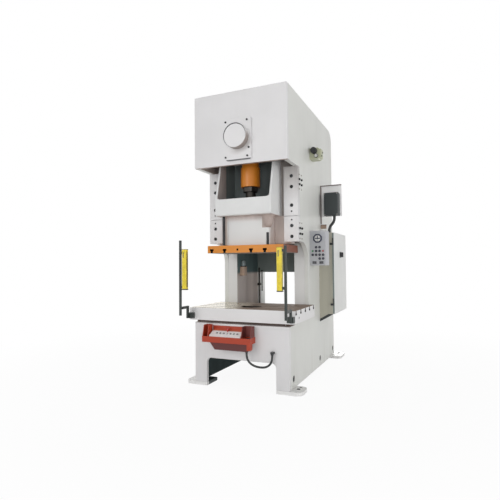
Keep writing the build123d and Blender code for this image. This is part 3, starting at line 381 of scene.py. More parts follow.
# painted shade in the slide's hollow, on its flanks, neck and belly, and on its boss
slide_layers = [
    ((0.40, 0.355, 0.34), "slide_hollow"), ((0.17, 0.20, 0.20), "hollow_back"),
    ((0.28, 0.25, 0.235), "slide_flank"), ((0.62, 0.57, 0.53), "left_flank"),
    ((0.60, 0.535, 0.505), "neck_side"), ((0.60, 0.52, 0.49), "belly_shade"),
    (boss_shade_brown, "slide_boss"),
]
finishes = dict(
    front=enamel("front_enamel", off_white, layers=[(shadow_green, "behind_front")]),
    # the side plates take a darker, greener copy of the frame's white as painted shade
    side=enamel("side_enamel", (0.655, 0.66, 0.63), layers=side_layers),
    plain=enamel("plain_enamel", off_white),
    crown=enamel("crown_enamel", off_white, layers=[(crown_shade_brown, "crown_under")]),
    cap=enamel("cap_enamel", off_white, layers=cap_layers),
    gib=enamel("gib_cap_enamel", off_white, layers=[((0.33, 0.305, 0.285), "gib_shade")]),
    # the relay bracket is whiter than the frame's enamel as painted light, with painted shade on its
    # flanges
    bracket=enamel(
        "relay_bracket_enamel", (0.94, 0.935, 0.935), layers=[((0.16, 0.12, 0.11), "bracket_edges")]
    ),
    # the bed's front edge is dark brown as painted shade
    bed=enamel("bed_enamel", off_white, layers=[(joint_shade_brown, "bed_edge")]),
    # the feet take a lighter copy of the frame's white as painted light
    foot=enamel("foot_enamel", (0.80, 0.795, 0.785), layers=foot_layers, grime=0.2),
    # the worn edge band carries the same painted shade in the joint under the table
    edge=enamel(
        "worn_edge_enamel", (0.66, 0.655, 0.645), 0.45, [(joint_shade_brown, "table_joint")], 0.6, 0.1
    ),
    column=enamel("column_enamel", (0.69, 0.685, 0.675), layers=column_layers),
    # the throat's back panel is dark as painted shade; the door's seal shares this finish
    dark=enamel("dark_shade_and_seal_enamel", (0.185, 0.218, 0.21), 0.5),
    slide=enamel("slide_enamel", (0.70, 0.705, 0.70), layers=slide_layers, grime=0.35),
    cabinet=enamel("cabinet_powder_coat", (0.72, 0.725, 0.71), 0.42, peel=0.12),
    # the cabinet's front wall and the hood take the olive painted shade
    case=enamel("cabinet_case_coat", (0.62, 0.625, 0.60), 0.42, [(shaded_olive, "cabinet_face")], peel=0.12),
    hood=enamel("hood_coat", shaded_olive, 0.45, [((0.035, 0.04, 0.04), "hood_rim")]),
    shelf=enamel("shelf_enamel", (0.52, 0.445, 0.41)),
    tray=enamel("tray_red_coat", (0.395, 0.047, 0.018), 0.33, tray_layers, 0.5),
    maroon=enamel("bracket_maroon_coat", (0.105, 0.026, 0.024), 0.45),
    console=enamel("console_white_coat", (0.86, 0.82, 0.81), 0.32, console_layers),
    motor=enamel("motor_blue_grey", (0.11, 0.15, 0.18), 0.4),
    wheel=enamel("flywheel_dark_enamel", (0.10, 0.10, 0.10), 0.5, peel=0.3),
    panel=enamel("panel_hammered_grey", (0.42, 0.427, 0.45), 0.34, peel=0.35),
    relay=enamel("relay_black_crackle", (0.026, 0.033, 0.034), 0.46, peel=0.6),
    stand=enamel("stand_black_coat", (0.026, 0.033, 0.03), 0.42, peel=0.2),
    air=enamel("regulator_green_grey", (0.46, 0.475, 0.33), grime=0.6),
    boss_shading=enamel("boss_painted_shade", boss_shade_brown, 0.5),
    # dark brown for painted shade in the table's joint and for the relay bracket's seat
    dark_joint_shade=enamel("joint_shade_strip_brown", joint_shade_brown, 0.6),
    filter=enamel("filter_tan_casting", (0.40, 0.285, 0.215), 0.5, peel=0.3),
)
print("enamels:", len(finishes))

# %% [markdown]
# ## Bare and oiled metal
# Ground plate, turned shafts and blackened screws differ in the direction of their scratches and in
# how far an oil film has browned them. Noise that is stretched along one axis gives the grinding
# lines; a second, broad noise lays the brown film in patches.

# %% Metal finishes
film = 0.7


def metal(name, colour, stain, rough=0.34, grain=(4, 260, 260), stain_low=0.45):
    finish, tree = start_finish(name)
    lines = noise(tree, places(tree, grain), 1.0, 4, 0.7)
    patches = noise(tree, places(tree), 5.5, 5, 0.6)
    base = mixed(step(lines, 0.35, 0.65), tone(colour, 0.86), colour)
    tint = mixed(step(patches, stain_low, stain_low + 0.25) * film, base, stain)
    gloss = spread(patches, rough - 0.1, rough + 0.2)
    return set_look(finish, tint, gloss, lines, 0.12, 0.0004, Metallic=1.0)


finishes.update(
    turned=metal("turned_steel", (0.52, 0.51, 0.49), (0.22, 0.17, 0.12), grain=(260, 260, 30)),
    black=metal("blackened_screw_steel", (0.035, 0.036, 0.038), (0.02, 0.018, 0.016), 0.38),
    oiled=metal("oiled_dark_steel", (0.10, 0.095, 0.09), (0.03, 0.026, 0.022), 0.45, stain_low=0.35),
    bronze=metal("bearing_bronze", (0.55, 0.36, 0.14), (0.25, 0.15, 0.06)),
    ways=metal("scraped_way_iron", (0.42, 0.41, 0.40), (0.2, 0.17, 0.14), 0.4, (40, 40, 40)),
    zinc=metal("zinc_sheet", (0.60, 0.61, 0.62), (0.50, 0.51, 0.52), 0.42, (30, 30, 30)),
)
print("metals ready")

# %% [markdown]
# ## Table and ram plate
# The table is painted round its edges and ground on top, with oil that has browned the top, painted
# shade in the slots and a pale painted reflection on the left of the top. The ram's plate is orange
# all round, with its ends in a darker red painted shade, and bare on its working face. Both finishes
# choose between paint and steel by place: near the top face, or inside the outer walls.

# %% Two-part finishes
def painted_plate(name, paint, steel, oil, low, high, bare, left_reflection=None, end_shade_paint=None):
    """Paint outside and steel where the mask says so, with an optional pale painted reflection on the
    steel towards the left.
    """
    finish, tree = start_finish(name)
    own = places(tree)
    x, y, z = axes(tree, own)
    show = bare(x, y, z, low, high)
    patches = noise(tree, places(tree, (1.3, 3.0, 3.0)), 2.4, 5, 0.6)
    lines = noise(tree, places(tree, (7, 240, 240)), 1.0, 3, 0.7)
    ground = mixed(step(patches, 0.35, 0.66), steel, oil)
    off_reflection = 1.0
    if left_reflection:
        off_reflection = step(x + (y - low.y) * 0.22 + patches * 0.4, 0.03, 0.27)
        ground = mixed(off_reflection, left_reflection, ground)
    ground = mixed(step(lines, 0.5, 0.8) * 0.35, ground, tone(steel, 1.5))
    # painted shade in the depths of slots and holes
    deep_cut_shade = (z < high.z - 0.0025) & (z > low.z + 0.0025)
    ground = mixed(deep_cut_shade, ground, tone(oil, 0.15))
    coat = mixed(step(noise(tree, own, 2.2, 4), 0.3, 0.75), tone(paint, 0.95), paint)
    # the plate's ends take a darker red as painted shade
    if end_shade_paint:
        coat = mixed(abs(x) > high.x - 0.0005, coat, end_shade_paint)
    shine = show * (0.75 - off_reflection * 0.65)
    gloss = spread(patches, 0.12, 0.24) + off_reflection * 0.46
    gloss = out(tree, "Mix", {"data_type": "FLOAT"}, i0=show, i2=0.40, i3=gloss)
    ripple = noise(tree, own, 240, 2)
    return set_look(finish, mixed(show, coat, ground), gloss, ripple, 0.06, 0.0006, Metallic=shine)


def table_bare(x, y, z, low, high):
    """The ground top and the slots, but not the painted rim."""
    inside = (abs(x) < high.x - 0.0021) & (y > low.y + 0.004) & (y < high.y - 0.004)
    return (z > high.z - 0.0006) | inside


def ram_bare(x, y, z, low, high):
    """The working face underneath and the slots behind the painted edge."""
    slots = (y > low.y + 0.004) & (abs(x) < high.x - 0.004) & (z < high.z - 0.004)
    return (z < low.z + 0.0006) | slots


# a lighter white than the frame's enamel as painted light, and a pale painted reflection on the left
# of the top
finishes["table"] = painted_plate(
    "ground_table", (0.755, 0.745, 0.745), (0.30, 0.225, 0.175), (0.19, 0.135, 0.10),
    *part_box("bolster"), table_bare, left_reflection=(0.93, 0.86, 0.72),
)
# the ram plate's ends get a darker red painted shade
finishes["ram"] = painted_plate(
    "ram_orange", (0.66, 0.228, 0.012), (0.30, 0.27, 0.24), (0.12, 0.09, 0.07),
    *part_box("die_plate"), ram_bare, end_shade_paint=(0.20, 0.062, 0.034),
)
finishes["rod"] = enamel("rod_orange", (0.60, 0.20, 0.018), 0.3, grime=0.8)
print("table and ram finishes ready")

# %% [markdown]
# ## Plastics and rubber
# Buttons, knobs, cable sheath and belt are moulded. They are plain in colour, and what makes them
# read as plastic is a fine grain in the gloss and a soft broad variation where hands have polished
# them.

# %% Moulded finishes
def moulded(name, colour, rough=0.4, grain=0.08, coat=0.0):
    finish, tree = start_finish(name)
    own = places(tree)
    worn = noise(tree, own, 22, 4)
    tint = mixed(step(worn, 0.35, 0.7), tone(colour, 0.88), tone(colour, 1.08))
    gloss = spread(worn, rough - 0.07, rough + 0.12)
    return set_look(finish, tint, gloss, noise(tree, own, 900, 2), grain, 0.0003, Coat_Weight=coat)


finishes.update(
    black_plastic=moulded("black_plastic", (0.022, 0.023, 0.025)),
    red_plastic=moulded("red_button_plastic", (0.50, 0.015, 0.012), 0.25, 0.04, 0.4),
    green_plastic=moulded("green_button_plastic", (0.02, 0.26, 0.07), 0.25, 0.04, 0.4),
    white_plastic=moulded("white_button_plastic", (0.66, 0.66, 0.64), 0.3, 0.04, 0.3),
    yellow=moulded("curtain_yellow", (0.76, 0.60, 0.03), 0.33, 0.05),
    rubber=moulded("cable_rubber", (0.017, 0.019, 0.019), 0.5, 0.3),
    belt=moulded("belt_rubber", (0.02, 0.02, 0.02), 0.6, 0.5),
    glass=moulded("dark_lens", (0.03, 0.006, 0.006), 0.1, 0.0, 1.0),
    navy_plastic=moulded("navy_plastic", (0.018, 0.022, 0.05), 0.32),
    smoked=moulded("smoked_window", (0.035, 0.037, 0.045), 0.12, 0.0, 0.6),
    bowl=moulded("filter_bowl_blue_grey", (0.19, 0.235, 0.245), 0.4, 0.02, 0.1),
)
print("finishes in all:", len(finishes))

# %% [markdown]
# ## Softened edges
# A cut plate never has a knife edge: it is ground back a few millimetres before painting, and that
# narrow band is what catches the light. Each solid is copied, its triangles are joined into whole
# faces, a Bevel breaks the edges, and the band can take a finish of its own. The copy then stands
# for the solid.

# %% Copy the solids with broken edges
weld_distance, flat_angle, sharp_angle = 1e-5, radians(0.3), radians(42)


def evaluated_mesh(piece):
    """The mesh that a piece's modifiers give; the modifiers are then removed."""
    bpy.context.view_layer.update()
    graph = bpy.context.evaluated_depsgraph_get()
    result = bpy.data.meshes.new_from_object(piece.evaluated_get(graph))
    piece.modifiers.clear()
    return result


def soften(node, width, finish, band):
    """Copy a solid with broken edges; band is the finish along them."""
    mesh = nodes[node].data.copy()
    for attribute in [a for a in mesh.attributes if a.name == "custom_normal"]:
        mesh.attributes.remove(attribute)
    mesh.materials.clear()
    mesh.materials.append(finish)
    mesh.materials.append(band)
    work = bmesh.new()
    work.from_mesh(mesh)
    bmesh.ops.remove_doubles(work, verts=work.verts, dist=weld_distance)
    bmesh.ops.dissolve_limit(work, angle_limit=flat_angle, verts=work.verts, edges=work.edges)
    for face in work.faces:
        face.material_index = 0
        face.smooth = True
    work.to_mesh(mesh)
    work.free()
    piece = placed(node + "_dressed", mesh)
    broken = piece.modifiers.new("edge_break", "BEVEL")
    broken.width = width
    broken.segments = 2
    broken.limit_method = "ANGLE"
    broken.angle_limit = sharp_angle
    broken.harden_normals = True
    broken.material = 1
    piece.data = evaluated_mesh(piece)
    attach(piece, nodes[node]["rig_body"])
    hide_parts(node)
    return len(piece.data.polygons)


softened = [
    ("side_plate_left side_plate_right", 0.004, "side", "edge"),
    ("base_front_plate", 0.004, "front", "edge"), ("crown_front_plate", 0.004, "crown"),
    ("crown_cover", 0.003, "plain", "edge"), ("foot_plates", 0.003, "foot"),
    ("base_rear_plate", 0.003, "plain", "edge"), ("bed_plate", 0.003, "bed"),
    ("column_left column_right", 0.003, "column"), ("gib_caps_left gib_caps_right", 0.0025, "gib"),
    ("bearing_cap", 0.002, "cap"), ("bolster", 0.002, "table"), ("slide_body", 0.004, "slide"),
    ("die_plate", 0.002, "ram"), ("cabinet_body", 0.0015, "case"),
    ("cabinet_door", 0.0015, "cabinet"), ("cable_hood", 0.0015, "hood"),
    ("relay_box", 0.0025, "relay"), ("relay_bracket", 0.001, "bracket"),
    ("panel_box", 0.0012, "panel"), ("control_tray", 0.0009, "tray"),
    ("control_console", 0.002, "console"), ("tray_bracket", 0.003, "maroon"),
    ("curtain_stand_left curtain_stand_right", 0.0015, "stand"),
    ("main_switch", 0.0012, "black_plastic"), ("air_regulator", 0.002, "air"),
    ("lock_nut", 0.002, "oiled"), ("cable_glands", 0.001, "black_plastic"),
    ("flywheel", 0.003, "wheel"), ("angle_dial", 0.0008, "navy_plastic"),
    ("air_line", 0.0015, "filter"), ("connecting_rod", 0.003, "rod"),
]
faces = {}
for names, width, finish, *band in softened:
    for node in names.split():
        faces[node] = soften(node, width, finishes[finish], finishes[(band or [finish])[0]])
print("softened", len(faces), "solids,", sum(faces.values()), "faces")

# %% [markdown]
# ## The rest of the solids
# Shafts, buttons and hidden pieces keep the shape that they came with and only change their finish.

# %% Finishes for the remaining solids
kept = {
    "plain": "crown_web",
    # the throat's back panel in dark painted shade
    "dark": "throat_back_panel",
    "ways": "guide_block_left guide_block_right",
    "black": "gib_cap_screws ejector_rods",
    "oiled": "adjusting_screw",
    "turned": "crank_pin crankshaft motor_pulley",
    "bronze": "crank_bushes",
    "belt": "drive_belt",
    "motor": "motor",
    "shelf": "motor_shelf",
    "rubber": "relay_hose control_cable",
    "navy_plastic": "dial_pointer",
    "red_plastic": "panel_stop_button stop_button",
    "green_plastic": "panel_start_button",
    "black_plastic": "palm_button_left palm_button_right regulator_knob",
    "yellow": "curtain_bar_left curtain_bar_right",
}
for finish, names in kept.items():
    for node in names.split():
        nodes[node].data.materials.clear()
        nodes[node].data.materials.append(finishes[finish])
kept_names = " ".join(kept.values()).split()
missing = sorted(set(nodes) - set(kept_names) - set(faces))
print("kept", len(kept_names), "solids; without a finish:", missing)

# %% [markdown]
# ## Screws in rows
# A press is full of screws that differ only in size: gib adjusters on the sides, cap screws, cover
# screws. Modelling each one would be slow, and an array follows a straight line only. A Geometry
# Nodes tree makes one socket head with its washer and sets it on every point of a small mesh, so
# each row is just a list of places and a few sizes.

# %% Screw tree
knob = "regulator_knob"  # the regulator's knob


def finished(name, mesh, body="frame"):
    """Turn a mesh into a piece that rides on a body."""
    piece = placed(name, mesh)
    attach(piece, body)


def new_tree(name, sizes):
    """A tree with a geometry input, named sizes, a finish and a geometry output."""
    tree = bpy.data.node_groups.new(name, "GeometryNodeTree")
    tree.interface.new_socket("Places", in_out="INPUT", socket_type="NodeSocketGeometry")
    for label, value in sizes.items():
        kind = {tuple: "Vector", int: "Int", float: "Float"}[type(value)]
        socket = tree.interface.new_socket(label, in_out="INPUT", socket_type="NodeSocket" + kind)
        socket.default_value = value
    tree.interface.new_socket("Finish", in_out="INPUT", socket_type="NodeSocketMaterial")
    tree.interface.new_socket("Geometry", in_out="OUTPUT", socket_type="NodeSocketGeometry")
    return tree, tree.nodes.new("NodeGroupInput").outputs


def set_on_points(tree, asked, piece):
    """Set a piece on every point, turn it, realize it, give it its finish and put it out."""
    turn = out(tree, "FunctionNodeEulerToRotation", Euler=asked["Turn"])
    copies = out(tree, "InstanceOnPoints", Points=asked["Places"], Instance=piece, Rotation=turn)
    real = out(tree, "RealizeInstances", Geometry=copies)
    coloured = out(tree, "SetMaterial", Geometry=real, Material=asked["Finish"])
    tree.links.new(coloured, tree.nodes.new("NodeGroupOutput").inputs["Geometry"])


def vector_of(tree, **parts):
    return out(tree, "ShaderNodeCombineXYZ", **parts)


def screw_tree():
    sizes = {
        "Head Radius": 0.01, "Head Height": 0.008, "Head Sides": 20, "Washer Radius": 0.013,
        "Washer Height": 0.002, "Socket Radius": 0.005, "Socket Depth": 0.005, "Turn": (0.0, 0.0, 0.0),
    }
    tree, asked = new_tree("screw_heads", sizes)

    def cylinder(corners, radius, depth):
        return out(tree, "MeshCylinder", Vertices=corners, Radius=radius, Depth=depth)

    head = cylinder(asked["Head Sides"], asked["Head Radius"], asked["Head Height"])
    top = vector_of(tree, Z=Field(tree, asked["Head Height"]) * 0.5)
    hexagon = cylinder(6, asked["Socket Radius"], Field(tree, asked["Socket Depth"]) * 2.0)
    hexagon = out(tree, "Transform", Geometry=hexagon, Translation=top)
    cut = out(tree, "MeshBoolean", {"operation": "DIFFERENCE"}, Mesh_1=head, Mesh_2=hexagon)
    lifted = out(tree, "Transform", Geometry=cut, Translation=top)
    joined = put(tree, "JoinGeometry", i0=lifted)
    tree.links.new(cylinder(24, asked["Washer Radius"], asked["Washer Height"]), joined.inputs[0])
    set_on_points(tree, asked, joined.outputs[0])
    return tree


def grown(name, tree, spots, finish, like=knob, **sizes):
    """Run a tree on a list of places and keep the result as one plain piece."""
    seeds = bpy.data.meshes.new(name + "_places")
    seeds.from_pydata([Vector(spot) for spot in spots], [], [])
    holder = placed(name + "_places", seeds)
    modifier = holder.modifiers.new("grow", "NODES")
    modifier.node_group = tree
    inputs = [socket for socket in tree.interface.items_tree if socket.in_out == "INPUT"]
    asked = {socket.name: socket.identifier for socket in inputs}
    for label, value in sizes.items():
        modifier[asked[label.replace("_", " ")]] = value
    modifier[asked["Finish"]] = finishes[finish]
    mesh = evaluated_mesh(holder)
    bpy.data.objects.remove(holder)
    for polygon in mesh.polygons:
        polygon.use_smooth = False
    finished(name, mesh)


screws = screw_tree()
quarter_turn = radians(90)
facing = {
    "front": (quarter_turn, 0.0, 0.0), "back": (-quarter_turn, 0.0, 0.0),
    "right": (0.0, quarter_turn, 0.0), "left": (0.0, -quarter_turn, 0.0),
    "sloped": (radians(25.2), 0.0, 0.0),
}
print("screw tree:", len(screws.nodes), "nodes")

# %% [markdown]
# ## Where the screws go
# The gib adjusters come in clusters beside each gib cap: two stout screws between two thin lock
# screws, in two columns. The bearing cap, the gib caps' dowels and the rear cover have their own
# patterns. A spot is given in millimetres, and its depth counts from the press's front face.

# %% Place the screws
def spot(x, depth, z):
    return (x / 1000, front_y + depth / 1000, z / 1000)


def socket_screws(name, spots, towards, radius, height, finish="black"):
    grown(
        name, screws, spots, finish, "gib_cap_screws", Turn=facing[towards], Head_Radius=radius,
        Head_Height=height, Socket_Radius=radius * 0.52, Socket_Depth=height * 0.55,
        Washer_Radius=radius * 0.9, Washer_Height=0.0004,
    )


adjuster_depths = (376, 452)
for side, sign in sides:
    stout = [spot(sign * 532, depth, z) for depth in adjuster_depths for z in (2185, 2130, 1660, 1600)]
    thin = [spot(sign * 532, depth, z) for depth in adjuster_depths for z in (2235, 2080, 1715, 1550)]
    socket_screws("gib_adjusters_" + side, stout, side, 0.0115, 0.014)
    socket_screws("gib_lock_screws_" + side, thin, side, 0.008, 0.006, "turned")
cap_places = [(-139, 2396), (-139, 2770), (109, 2394), (107, 2768), (126, 2479), (-135, 2678)]
socket_screws("bearing_cap_screws", [spot(x, -25, z) for x, z in cap_places], "front", 0.010, 0.008)
dowels = [spot(x, 332, z) for x in (-459.5, 459.5) for z in (1750, 1840)]
socket_screws("gib_cap_dowels", dowels, "front", 0.009, 0.002)
cover_rows = [spot(x, 1893, z) for x in (-440, -150, 150, 440) for z in (1220, 1700, 2200, 2660)]
socket_screws("rear_cover_screws", cover_rows, "back", 0.007, 0.004, "turned")
print("screw rows placed")

# %% [markdown]
# ## Faces that change colour
# The operator panel, the console, the cabinet door and the dial are each one piece with small parts
# of another colour. Rather than cutting them apart, the faces that belong to a cap, a ring or a
# window are picked by where they are and given a finish of their own.

# %% Repaint faces by place
def repaint(node, rules, largest=1.0):
    """Give faces whose middle passes a test another finish; rules are (test, finish) pairs."""
    mesh = bpy.data.objects[node + "_dressed"].data
    counts = []
    for test, finish in rules:
        mesh.materials.append(finishes[finish])
        index = len(mesh.materials) - 1
        chosen = [face for face in mesh.polygons if face.area < largest and test(face.center)]
        for face in chosen:
            face.material_index = index
        counts.append(len(chosen))
    print(node, "repainted faces:", counts)


def nearest(value, choices):
    """How far a value is from the nearest of several."""
    return min(abs(value - choice) for choice in choices)


panel_face = front_y + 0.760
just_proud, cap_face = panel_face - 0.0002, panel_face - 0.0045
dial_x, dial_z = 0.626, 1.566915
columns = [dial_x + share * 0.040 for share in (-1.5, -0.5, 0.5, 1.5)]
rows = [1.466980 - index * 0.043 for index in range(4)]
counter_top = rows[3] - 0.025
button_reach = 0.0115


def at_button(c):
    return nearest(c.x, columns) < button_reach and nearest(c.z, rows) < button_reach


repaint("panel_box", [
    (lambda c: c.y < just_proud and at_button(c), "black_plastic"),
    (lambda c: c.y < cap_face and at_button(c), "navy_plastic"),
    (lambda c: c.y < just_proud and c.z < counter_top, "black_plastic"),
    (lambda c: c.y < cap_face and c.z < counter_top, "smoked"),
])
console_low, console_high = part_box("control_console")
key_shares = (0.2, 0.31, 0.42, 0.53, 0.64, 0.75, 0.86)
console_keys = [console_low.x + share * (console_high.x - console_low.x) for share in key_shares]
console_row_y = front_y - 0.0755
key_foot_z = 0.5745
key_reach = 0.0086


def on_key(c, keys):
    in_row = abs(c.y - console_row_y) < key_reach and c.z > key_foot_z
    return in_row and nearest(c.x, keys) < key_reach


repaint("control_console", [
    (lambda c: on_key(c, console_keys), "black_plastic"),
    (lambda c: on_key(c, console_keys[3:4]), "white_plastic"),
    (lambda c: on_key(c, console_keys[5:6]), "green_plastic"),
], largest=0.0003)
cabinet_y = front_y + 1.170
switch_plate_x = 0.7160
hinge = (lambda c: c.y < cabinet_y - 0.0005, "black_plastic")
seal = (lambda c: abs(c.y - cabinet_y) < 0.0004, "dark")
repaint("cabinet_door", [hinge, seal, (lambda c: c.x > switch_plate_x, "black_plastic")])
repaint("cabinet_body", [hinge])
dial_rim_radius = 0.0365


def on_dial_face(c):
    near = (c.x - dial_x) ** 2 + (c.z - dial_z) ** 2 < dial_rim_radius**2
    return near and abs(c.y - front_y - 0.752) < 0.0008


repaint("angle_dial", [(on_dial_face, "white_plastic")])
repaint("air_line", [(lambda c: c.y > front_y + 1.255, "oiled")])  # the pipe

# %% [markdown]
# ## Small turned and boxed parts
# Most fittings are either turned on a lathe or milled from a block. Two helpers cover both: one
# sweeps a profile round an axis, one makes a block and breaks its edges with a bevel.

# %% Lathe and block helpers
crease_angle = radians(35)


def from_work(name, work, finish, body):
    """Turn a finished bmesh into a piece."""
    mesh = bpy.data.meshes.new(name)
    work.to_mesh(mesh)
    work.free()
    mesh.materials.append(finishes[finish])
    finished(name, mesh, body)


def lathe(name, profile, centre, axis, finish, body="frame", steps=32):
    """Turn (radius, along) points round an axis through a centre."""
    work = bmesh.new()
    angles = [2 * pi * index / steps for index in range(steps)]
    rings = []
    for radius, along in profile:
        if radius == 0:
            rings.append([work.verts.new((0, 0, along))])
        else:
            rings.append([work.verts.new((radius * cos(a), radius * sin(a), along)) for a in angles])
    for lower, upper in zip(rings, rings[1:]):
        for index in range(steps):
            corners = [lower[index % len(lower)], lower[(index + 1) % len(lower)]]
            corners += [upper[(index + 1) % len(upper)], upper[index % len(upper)]]
            face = work.faces.new(list(dict.fromkeys(corners)))
            face.smooth = True
    for ring in (rings[0], rings[-1]):
        if len(ring) > 1:
            work.faces.new(ring)
    turn = Vector((0, 0, 1)).rotation_difference(Vector(axis)).to_matrix().to_4x4()
    bmesh.ops.transform(work, matrix=Matrix.Translation(centre) @ turn, verts=work.verts)
    bmesh.ops.recalc_face_normals(work, faces=work.faces)
    for line in work.edges:
        line.smooth = line.calc_face_angle(0) < crease_angle
    from_work(name, work, finish, body)


def milled(name, blocks, finish, width):
    """One piece made of (low, high) blocks with broken edges."""
    work = bmesh.new()
    for low, high in blocks:
        low, high = Vector(low), Vector(high)
        cube = bmesh.ops.create_cube(work, size=1)["verts"]
        size = Matrix.Diagonal((*(high - low), 1))
        bmesh.ops.transform(work, matrix=Matrix.Translation((low + high) / 2) @ size, verts=cube)
    bmesh.ops.bevel(work, geom=work.edges, offset=width, segments=2, profile=0.5, affect="EDGES")
    from_work(name, work, finish, "frame")


print("lathe and block ready")

# %% [markdown]
# ## Angle dial
# The dial shows the crank's angle. A dark ring frames a white face with a tick every ten degrees, a
# longer one at each quarter, and plain numbers. The ticks repeat round a circle, so a small tree
# sets them: it starts from the points of a mesh circle and turns each bar to face the middle.

# %% Ticks and numbers
def tick_tree():
    sizes = {"Count": 36, "Ring Radius": 0.031, "Tick Length": 0.004, "Tick Width": 0.0008}
    tree, asked = new_tree("dial_ticks", {**sizes, "Turn": facing["front"]})
    ring = out(tree, "MeshCircle", Vertices=asked["Count"], Radius=asked["Ring Radius"])
    size = vector_of(tree, X=asked["Tick Length"], Y=asked["Tick Width"], Z=0.0004)
    bar = out(tree, "MeshCube", Size=size)
    angle = Field(tree, out(tree, "InputIndex")) / asked["Count"] * (2 * pi)
    turn = out(tree, "FunctionNodeEulerToRotation", Euler=vector_of(tree, Z=angle))
    bars = out(tree, "InstanceOnPoints", Points=ring, Instance=bar, Rotation=turn)
    set_on_points(tree, asked, bars)
    return tree


ticks = tick_tree()
dial_face = front_y + 0.7519
dial_spot = [(dial_x, dial_face, dial_z)]
grown("dial_fine_ticks", ticks, dial_spot, "black_plastic")
grown("dial_quarter_ticks", ticks, dial_spot, "black_plastic",
      Count=4, Tick_Length=0.008, Tick_Width=0.0018)
number_radius = 0.0215


def dial_number(word, angle):
    """A plain number on the dial, made a mesh and then set upright in its place."""
    name = "dial_number_" + word
    line = bpy.data.curves.new(name, "FONT")
    line.body = word
    line.size = 0.0105
    line.extrude = 0.0002
    line.align_x = line.align_y = "CENTER"
    holder = placed(name, line)
    mesh = evaluated_mesh(holder)
    bpy.data.objects.remove(holder)
    where = (dial_x + number_radius * sin(angle), dial_face, dial_z + number_radius * cos(angle))
    mesh.transform(Matrix.Translation(where) @ Matrix.Rotation(quarter_turn, 4, "X"))
    mesh.materials.clear()
    mesh.materials.append(finishes["black_plastic"])
    finished(name, mesh)


for quarter, word in enumerate(("0", "90", "180", "270")):
    dial_number(word, quarter * pi / 2)
bar_low = (dial_x - 0.030, dial_face - 0.0002, dial_z - 0.006)
bar_high = (dial_x + 0.030, dial_face + 0.0004, dial_z + 0.006)
milled("dial_cross_bar", [(bar_low, bar_high)], "navy_plastic", 0.0001)
print("dial marked")

# %% [markdown]
# ## Light curtain bars
# Each bar is a yellow extrusion with black end caps. A dark lens runs down the face that looks at the
# other bar, and a small status window sits near the top of the front.

# %% Dress the curtain bars
for side, sign in sides:
    low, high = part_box("curtain_bar_" + side)
    inner = low.x if sign > 0 else high.x
    middle_y = (low.y + high.y) / 2
    proud_y = low.y - 0.0003
    caps = [((low.x - 0.001, proud_y, z0), (high.x + 0.001, high.y + 0.001, z1))
            for z0, z1 in ((low.z, low.z + 0.012), (high.z - 0.005, high.z))]
    milled("curtain_caps_" + side, caps, "black_plastic", 0.0015)
    left_x, right_x = sorted((inner - sign * 0.0012, inner + sign * 0.004))
    pane = ((left_x, middle_y - 0.009, low.z + 0.03), (right_x, middle_y + 0.009, high.z - 0.03))
    milled("curtain_lens_" + side, [pane], "glass", 0.0008)
    window_x = (low.x + high.x) / 2 - 0.008
    window_low = (window_x - 0.005, proud_y, high.z - 0.090)
    window_high = (window_x + 0.005, low.y + 0.004, high.z - 0.030)
    milled("curtain_status_" + side, [(window_low, window_high)], "smoked", 0.0008)
print("curtain bars dressed")

# %% [markdown]
# ## Air fittings
# In the throat, a filter hangs on the left column: a cast block with a bowl on it. The regulator on
# the right side has a gauge under its knob, and a cover with two plugs on its flank. A drain pipe
# hangs in the throat. All but the cover are round.

# %% Filter, gauge and plugs
upwards, downwards, forwards = (0, 0, 1), (0, 0, -1), (0, -1, 0)
filter_top = spot(-333, 817, 1250)
bulb = [(0.0, 0.0), (0.028, 0.0), (0.031, 0.008), (0.031, 0.052)]
bulb += [(0.027, 0.070), (0.015, 0.080), (0.0, 0.083)]
lathe("filter_bowl", bulb, filter_top, upwards, "bowl")
collar = [(0.0, -0.003), (0.0295, -0.003), (0.0335, 0.0), (0.0335, 0.012), (0.0, 0.012)]
lathe("filter_collar", collar, filter_top, upwards, "black")
regulator_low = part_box("air_regulator")[0]
gauge_x, gauge_y, gauge_z = regulator_low.x + 0.078, regulator_low.y, regulator_low.z + 0.036
gauge_at = (gauge_x, gauge_y, gauge_z)
rim = [(0.0, -0.004), (0.024, -0.004), (0.024, 0.012), (0.021, 0.014), (0.020, 0.011), (0.0, 0.011)]
lathe("gauge_case", rim, gauge_at, forwards, "black_plastic")
disc = [(0.0, 0.010), (0.0195, 0.010), (0.0195, 0.0115), (0.0, 0.0115)]
lathe("gauge_face", disc, gauge_at, forwards, "white_plastic")
grown("gauge_ticks", ticks, [(gauge_x, gauge_y - 0.0116, gauge_z)], "black_plastic",
      Count=20, Ring_Radius=0.016, Tick_Length=0.003, Tick_Width=0.0006)
cover = (spot(641, 812, 2502), spot(662, 918, 2608))
milled("regulator_cover", [cover], "air", 0.004)
socket_screws("regulator_plugs", [spot(662, 850, 2530), spot(662, 890, 2575)], "right", 0.010, 0.005)
drain = [(0.0, 0.0), (0.012, 0.0), (0.012, 0.022), (0.0075, 0.024)]
drain += [(0.0075, 0.276), (0.006, 0.280), (0.0, 0.280)]
lathe("drain_pipe", drain, spot(-298, 1333, 1200), downwards, "rubber")
print("air fittings made")

# %% [markdown]
# ## Boss under the slide
# The knock-out boss under the slide's belly is cast with draft, so it narrows downwards, and a wide
# fillet carries it into the belly. The solid has a plain round boss. Its copy is drawn in towards its
# axis, and a turned ring makes the fillet.

